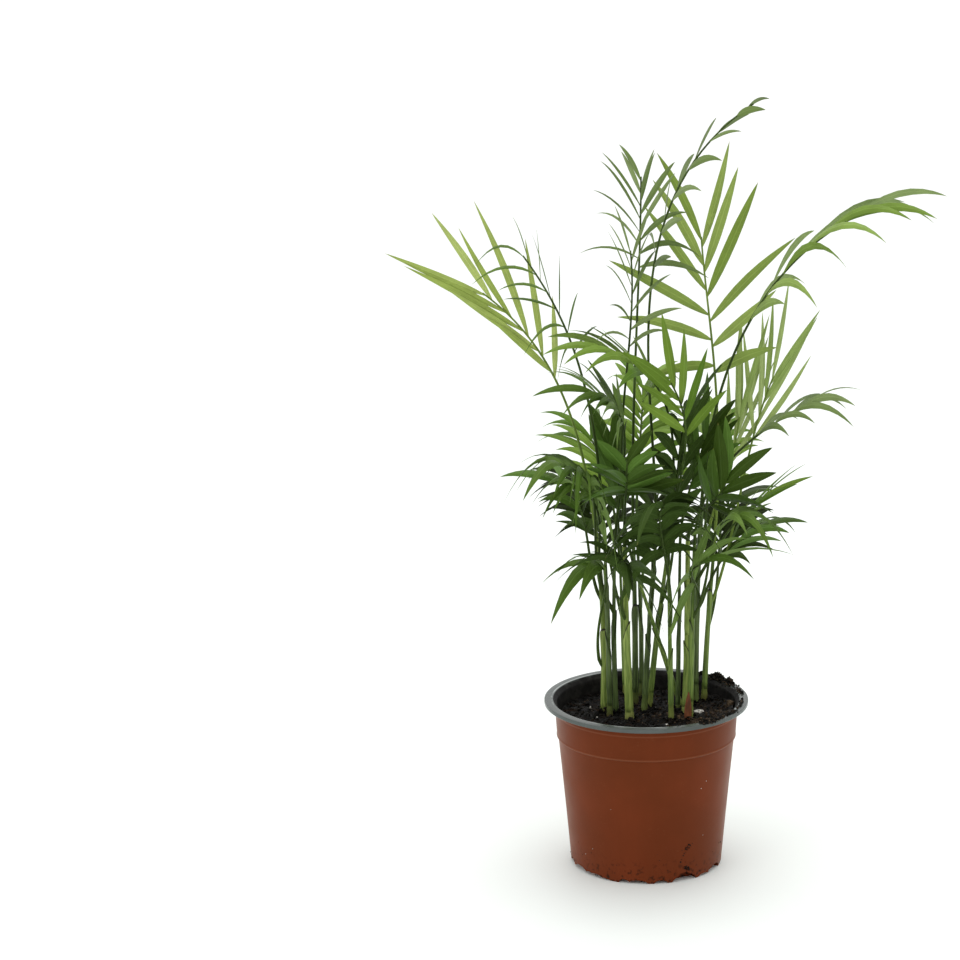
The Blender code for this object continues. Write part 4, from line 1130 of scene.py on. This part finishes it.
def rib_knots(frond, stem, push):
    """The four control points of a frond's rib. push moves its middle sideways."""
    axis = stem_point(stem, frond.up) - stem_point(stem, frond.up - 0.02)
    axis.normalize()
    outward = direction(frond.heading, 90)
    foot = stem_point(stem, frond.up)
    if frond.up < 1:
        foot += outward * (stem_radius(stem, frond.up) + RIB_FOOT_RADIUS + GAP + 0.1)
        start = (axis + outward * math.tan(math.radians(frond.start))).normalized()
    else:
        foot += axis * GAP
        start = axis
    tip = Vector(frond.tip)
    chord = (tip - foot).length
    first = foot + start * chord * frond.pull[0]
    last = tip - direction(frond.heading, frond.end) * chord * frond.pull[1]
    return foot, first + push, last + push * 0.5, tip


def rib_point(knots, share):
    """A point on the rib, from its foot at 0 to its tip at 1."""
    rest = 1 - share
    weights = (rest ** 3, 3 * rest ** 2 * share, 3 * rest * share ** 2, share ** 3)
    return sum((knot * weight for knot, weight in zip(knots, weights)), Vector())


def rib_frame(frond, knots, share):
    """The rib's direction, its blade's side and its blade's upper face."""
    along = rib_point(knots, min(1, share + 0.01)) - rib_point(knots, share - 0.01)
    along.normalize()
    side = direction(frond.heading + 90, 90)
    side = (side - along * side.dot(along)).normalized()
    face = along.cross(side)
    roll = Matrix.Rotation(math.radians(frond.roll), 3, along)
    return along, roll @ side, roll @ face


def misfit(points, tree):
    """How far points lie from a frame node's surface on average."""
    return sum(tree.find_nearest(point * MM)[3] for point in points) / len(points) / MM


def fitted_rib(frond, stem, tree):
    """The rib's route: the one of the source's routes that the frame's frond was built on."""
    pushes = [Vector()]
    for reach in RIB_PUSHES:
        pushes += [direction(frond.heading + turn, 90) * reach for turn in range(0, 360, 45)]
    routes = [rib_knots(frond, stem, push) for push in pushes]
    shares = [index / 12 for index in range(13)]
    return min(routes, key=lambda knots: misfit([rib_point(knots, s) for s in shares], tree))


Leaf = namedtuple("Leaf", "root aim face length width droop")


def leaf_centre(leaf, share):
    """A point on the leaflet's middle line, which rises a little and then sags."""
    sag = leaf.droop * ((1 + LEAF_ARCH) * share ** 2 - LEAF_ARCH * share)
    return leaf.root + (leaf.aim * share - UP * sag) * leaf.length


def leaf_at(frond, knots, climb, hand, dice):
    """One leaflet by the source's rule, with its draws in the source's order."""
    share = frond.bare + (LAST_PAIR - frond.bare) * climb
    low, high = frond.ends
    size = 1 - (1 - low) * max(0, 1 - climb * 2) - (1 - high) * max(0, climb * 2 - 1)
    station = share + hand * STAGGER
    along, side, face = rib_frame(frond, knots, station)
    angle = frond.spread[1] + (frond.spread[0] - frond.spread[1]) * (1 - climb) ** 2
    angle = math.radians(angle * dice.uniform(*ANGLE_RANGE))
    lift = math.radians(frond.cup + dice.uniform(-LIFT_RANGE, LIFT_RANGE))
    aim = along * math.cos(angle) + side * hand * math.sin(angle)
    aim = (aim + face * math.tan(lift) * math.sin(angle)).normalized()
    turn = -hand * math.radians(frond.twist + dice.uniform(-TURN_RANGE, TURN_RANGE))
    look = Matrix.Rotation(turn, 3, aim) @ face
    length = frond.length * size * dice.uniform(*LENGTH_RANGE)
    width = frond.width * dice.uniform(*WIDTH_RANGE)
    droop = frond.droop * dice.uniform(*DROOP_RANGE) * math.sqrt(1 - aim.z ** 2)
    return Leaf(rib_point(knots, station), aim, look, length, width, droop)


def turned_leaf(leaf, along, turn):
    """The leaflet swung about the rib."""
    swing = Matrix.Rotation(math.radians(turn), 3, along)
    return leaf._replace(aim=swing @ leaf.aim, face=swing @ leaf.face)


def fitted_leaf(leaf, along, tree):
    """The leaflet swung as the frame's own is, or None where the frame has none."""
    tried = [turned_leaf(leaf, along, turn) for turn in LEAF_TURNS]
    spans = [misfit([leaf_centre(one, share) for share in (0.4, 0.7, 0.95)], tree)
             for one in tried]
    best = min(spans)
    return tried[spans.index(best)] if best < LEAF_MISFIT else None


def leaf_template():
    """A six-sided spike: four faces above the blade's edges and two below, with a UV map."""
    work = long_cone(6, 0, LEAF_STATIONS, True)
    layer = work.loops.layers.uv.new("across_and_along")
    for face in work.faces:
        face.smooth = True
        for loop in face.loops:
            across = section_place(loop.vert.co)[0]
            loop[layer].uv = (0.5 + 0.5 * across, loop.vert.co.z)
        turns = [section_place(vert.co)[1] for vert in face.verts]
        face.material_index = 1 if min(turns) < -0.5 else 0
    bmesh.ops.reverse_faces(work, faces=work.faces)
    return saved(work, "leaf_template")


def section_place(corner):
    """Where a spike's corner sits across the blade, and how high over its middle."""
    if math.hypot(corner.x, corner.y) < 1e-6:
        return 0, 0
    sector = round(math.degrees(math.atan2(corner.x, corner.y)) / 60) % 6
    return LEAF_SECTION[sector]


def blade_width(share, belly):
    """The half width of a leaflet along its length, as a share of its widest."""
    return math.sin(math.pi * share ** belly) ** LEAF_FULLNESS if share < 1 else 0


def leaf_places(template, leaf, belly, skin=0.0, warp=0.0, bow=0.0):
    """The template's corners on one leaflet, with a skin round it, in metres."""
    places = []
    side = leaf.aim.cross(leaf.face).normalized()
    for vertex in template.vertices:
        share = vertex.co.z
        across, level = section_place(vertex.co)
        slope = LEAF_ARCH - 2 * (1 + LEAF_ARCH) * share
        aim = (leaf.aim + UP * leaf.droop * slope).normalized()
        turned = Matrix.Rotation(warp * share * share, 3, aim) @ side
        normal = turned.cross(aim).normalized()
        half = max(LEAF_ROOT / 2 * (1 - share), leaf.width / 2 * blade_width(share, belly))
        half += skin
        thick = LEAF_THICKNESS * (1 - LEAF_THINNING * share) + 2 * skin
        fold = half * LEAF_FOLD * (1 - abs(across))
        shift = side * leaf.length * bow * math.sin(math.pi * share)
        place = leaf_centre(leaf, share) + shift + turned * half * across
        places.append((place + normal * (fold + thick / 2 * level)) * MM)
    return places


def touches(template, places, others):
    """A leaflet's search tree, and whether it cuts any of the others."""
    tree = BVHTree.FromPolygons(places, [tuple(face.vertices) for face in template.polygons])
    return tree, any(tree.overlap(other) for other in others)


def add_own_leaves(work, template, frond, knots, own, others, looks):
    """The frame's leaflets made fine. Each keeps as much of its own looks as stays clear."""
    dice = random.Random(f"{SEED} {frond.name}")
    along = (knots[3] - knots[2]).normalized()
    most_warp, most_bow = DEEP_SWAY if TINTS[frond.tint][0] == "leaf_dark" else LEAF_SWAY
    blades = []
    for index in range(frond.pairs):
        for hand in (1, -1):
            leaf = leaf_at(frond, knots, index / (frond.pairs - 1), hand, dice)
            kept = fitted_leaf(leaf, along, own)
            warp = math.radians(looks.uniform(-most_warp, most_warp))
            bow = looks.uniform(-most_bow, most_bow)
            tone = looks.choice((0, 1, 2))
            if kept is None:
                continue
            thin = frond.thin if hand == 1 and index < THIN_PAIRS else 1
            for ease in EASES:
                broad = thin * (min(frond.wide, 1) + max(0, frond.wide - 1) * ease)
                shaped = kept._replace(width=kept.width * broad,
                                       droop=kept.droop * (1 - (1 - frond.calm) * ease))
                places = leaf_places(template, shaped, frond.belly, 0, warp * ease, bow * ease)
                tree, cuts = touches(template, places, others + blades)
                if not cuts:
                    break
            add_copy(work, template, places, tone, 3)
            blades.append(tree)
    return blades


def add_leaves_between(work, template, frond, knots, others, looks):
    """More leaflets between the pairs, each where it stays clear of all the others."""
    along = (knots[3] - knots[2]).normalized()
    added = []
    gaps = (frond.pairs - 1) * (frond.fill + 1)
    for index in range(gaps):
        if index % (frond.fill + 1) == 0:
            continue
        for hand in (1, -1):
            leaf = leaf_at(frond, knots, index / gaps, hand, looks)
            leaf = leaf._replace(width=leaf.width * FILL_WIDTH)
            tone = looks.choice((0, 1, 2))
            for turn in FILL_TURNS:
                tried = turned_leaf(leaf, along, turn)
                places = leaf_places(template, tried, frond.belly, SAFE)
                tree, cuts = touches(template, places, others + added)
                if cuts:
                    continue
                add_copy(work, template, leaf_places(template, tried, frond.belly), tone, 3)
                added.append(tree)
                break
    return added


def make_fronds(stems):
    """Every frond: fine leaflets in place of the frame's blade, and a fine round rib."""
    template = leaf_template()
    rod = tube_template(8, 40, True)
    finishes = {tint: [leaf_material(f"leaf_{tint}_{index}", colour, index < 3)
                       for index, colour in enumerate(colours)]
                for tint, (_, *colours) in TINTS.items()}
    ribs = {"dark": bmesh.new(), "pale": bmesh.new()}
    trees = {name: mesh_tree(node.data) for name, node in frame["nodes"].items()}
    added = []
    for frond in FRONDS:
        stem = stems[frond.stem - 1]
        own = trees[frond.name]
        knots = fitted_rib(frond, stem, own)
        looks = random.Random(f"{SEED} {frond.name} looks")
        others = [tree for name, tree in trees.items() if name != frond.name] + added
        work = bmesh.new()
        others += add_own_leaves(work, template, frond, knots, own, others, looks)
        if frond.fill:
            added += add_leaves_between(work, template, frond, knots, others, looks)
        piece = add_piece(f"{frond.name}_leaflets", work, finishes[frond.tint], 50)
        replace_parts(piece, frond.name)
        # painted light and shade: stalks of the bright, backlit fronds are pale, the rest dark
        pale = frond.tint in ("bright", "fan", "feather")
        add_rib(ribs["pale" if pale else "dark"], rod, frond, stem, knots)
    stalk = cane_material("stalk_dark", "#465a2a", "#303f1b")
    add_piece("ribs_dark", ribs["dark"], [stalk], 60)
    stalk = cane_material("stalk_pale", "#74883f", "#5d7232")
    add_piece("ribs_pale", ribs["pale"], [stalk], 60)


def add_rib(work, rod, frond, stem, knots):
    """Add a frond's stalk and rib: from inside its stem, thick at its foot, to its tip."""
    reach = (knots[3] - knots[0]).length
    inside = stem_point(stem, frond.up - STALK_SUNK / (stem.tip_z - stem.foot_z))

    def path(share):
        if share >= STALK_LEAD:
            return rib_point(knots, (share - STALK_LEAD) / (1 - STALK_LEAD))
        return inside.lerp(knots[0], share / STALK_LEAD)

    start = stem_radius(stem, frond.up) * 0.98 if frond.up == 1 else RIB_FOOT_RADIUS * 1.25

    def radius(share, turn):
        swell = (start - RIB_FOOT_RADIUS) * math.exp(-share * reach / STALK_SWELL)
        return RIB_FOOT_RADIUS + (RIB_TIP_RADIUS - RIB_FOOT_RADIUS) * share + max(0, swell)

    add_tube(work, rod, path, radius, direction(frond.heading + 90, 90))


def make_dry_sheath(stems):
    """The dried orange-brown sheath that stands pointed at one cane's foot."""
    stem = stems[DRY_STEM - 1]
    root = stem_point(stem, 0) + Vector((-1.2, -stem_radius(stem, 0) - 0.5, -4.5))
    aim = Vector((0.02, -0.03, 1)).normalized()
    leaf = Leaf(root, aim, Vector((0, -1, 0)), *DRY_SIZE, 0)
    template = leaf_template()
    work = bmesh.new()
    add_copy(work, template, leaf_places(template, leaf, 0.7), 0)
    add_piece("dry_sheath", work, [dry_material()], 50)


def make_floor():
    """The plain pale floor."""
    work = bmesh.new()
    bmesh.ops.create_grid(work, x_segments=1, y_segments=1, size=FLOOR_REACH)
    floor = add_object("studio_floor", saved(work, "studio_floor"))
    floor.data.materials.append(floor_material())


def add_softbox(name, place, aim, size, power):
    """A large soft lamp that faces a point."""
    lamp = bpy.data.lights.new(name, "AREA")
    lamp.shape = "SQUARE"
    lamp.size = size
    lamp.energy = power
    thing = add_object(name, lamp)
    thing.location = place
    thing.rotation_euler = (Vector(place) - Vector(aim)).to_track_quat("Z", "Y").to_euler()


def make_studio():
    """Plain soft studio light, near-white surroundings and the camera."""
    world = bpy.data.worlds.new("studio")
    bpy.context.scene.world = world
    world.use_nodes = True
    back = world.node_tree.nodes["Background"]
    back.inputs["Color"].default_value = (1.0, 1.0, 1.0, 1)
    back.inputs["Strength"].default_value = DAYLIGHT
    for softbox in SOFTBOXES:
        add_softbox(*softbox)
    bpy.context.scene.view_settings.view_transform = "Standard"
    camera = bpy.data.cameras.new("camera")
    camera.lens = CAMERA_LENS
    camera.sensor_width = CAMERA_SENSOR
    thing = add_object("camera", camera)
    thing.matrix_world = (Matrix.Translation(CAMERA_PLACE)
                          @ Matrix.Rotation(math.radians(90 - CAMERA_DOWN), 4, "X")
                          @ Matrix.Rotation(math.radians(CAMERA_ROLL), 4, "Y"))
    bpy.context.scene.camera = thing


make_pot()
soil = make_soil()
ground = mesh_tree(soil.data)
stems = seated_stems()
make_crumbs(ground, stems)
make_stones(ground)
make_fibres(ground)
make_canes(stems)
make_sheaths(stems)
make_dry_sheath(stems)
make_fronds(stems)
make_floor()
make_studio()
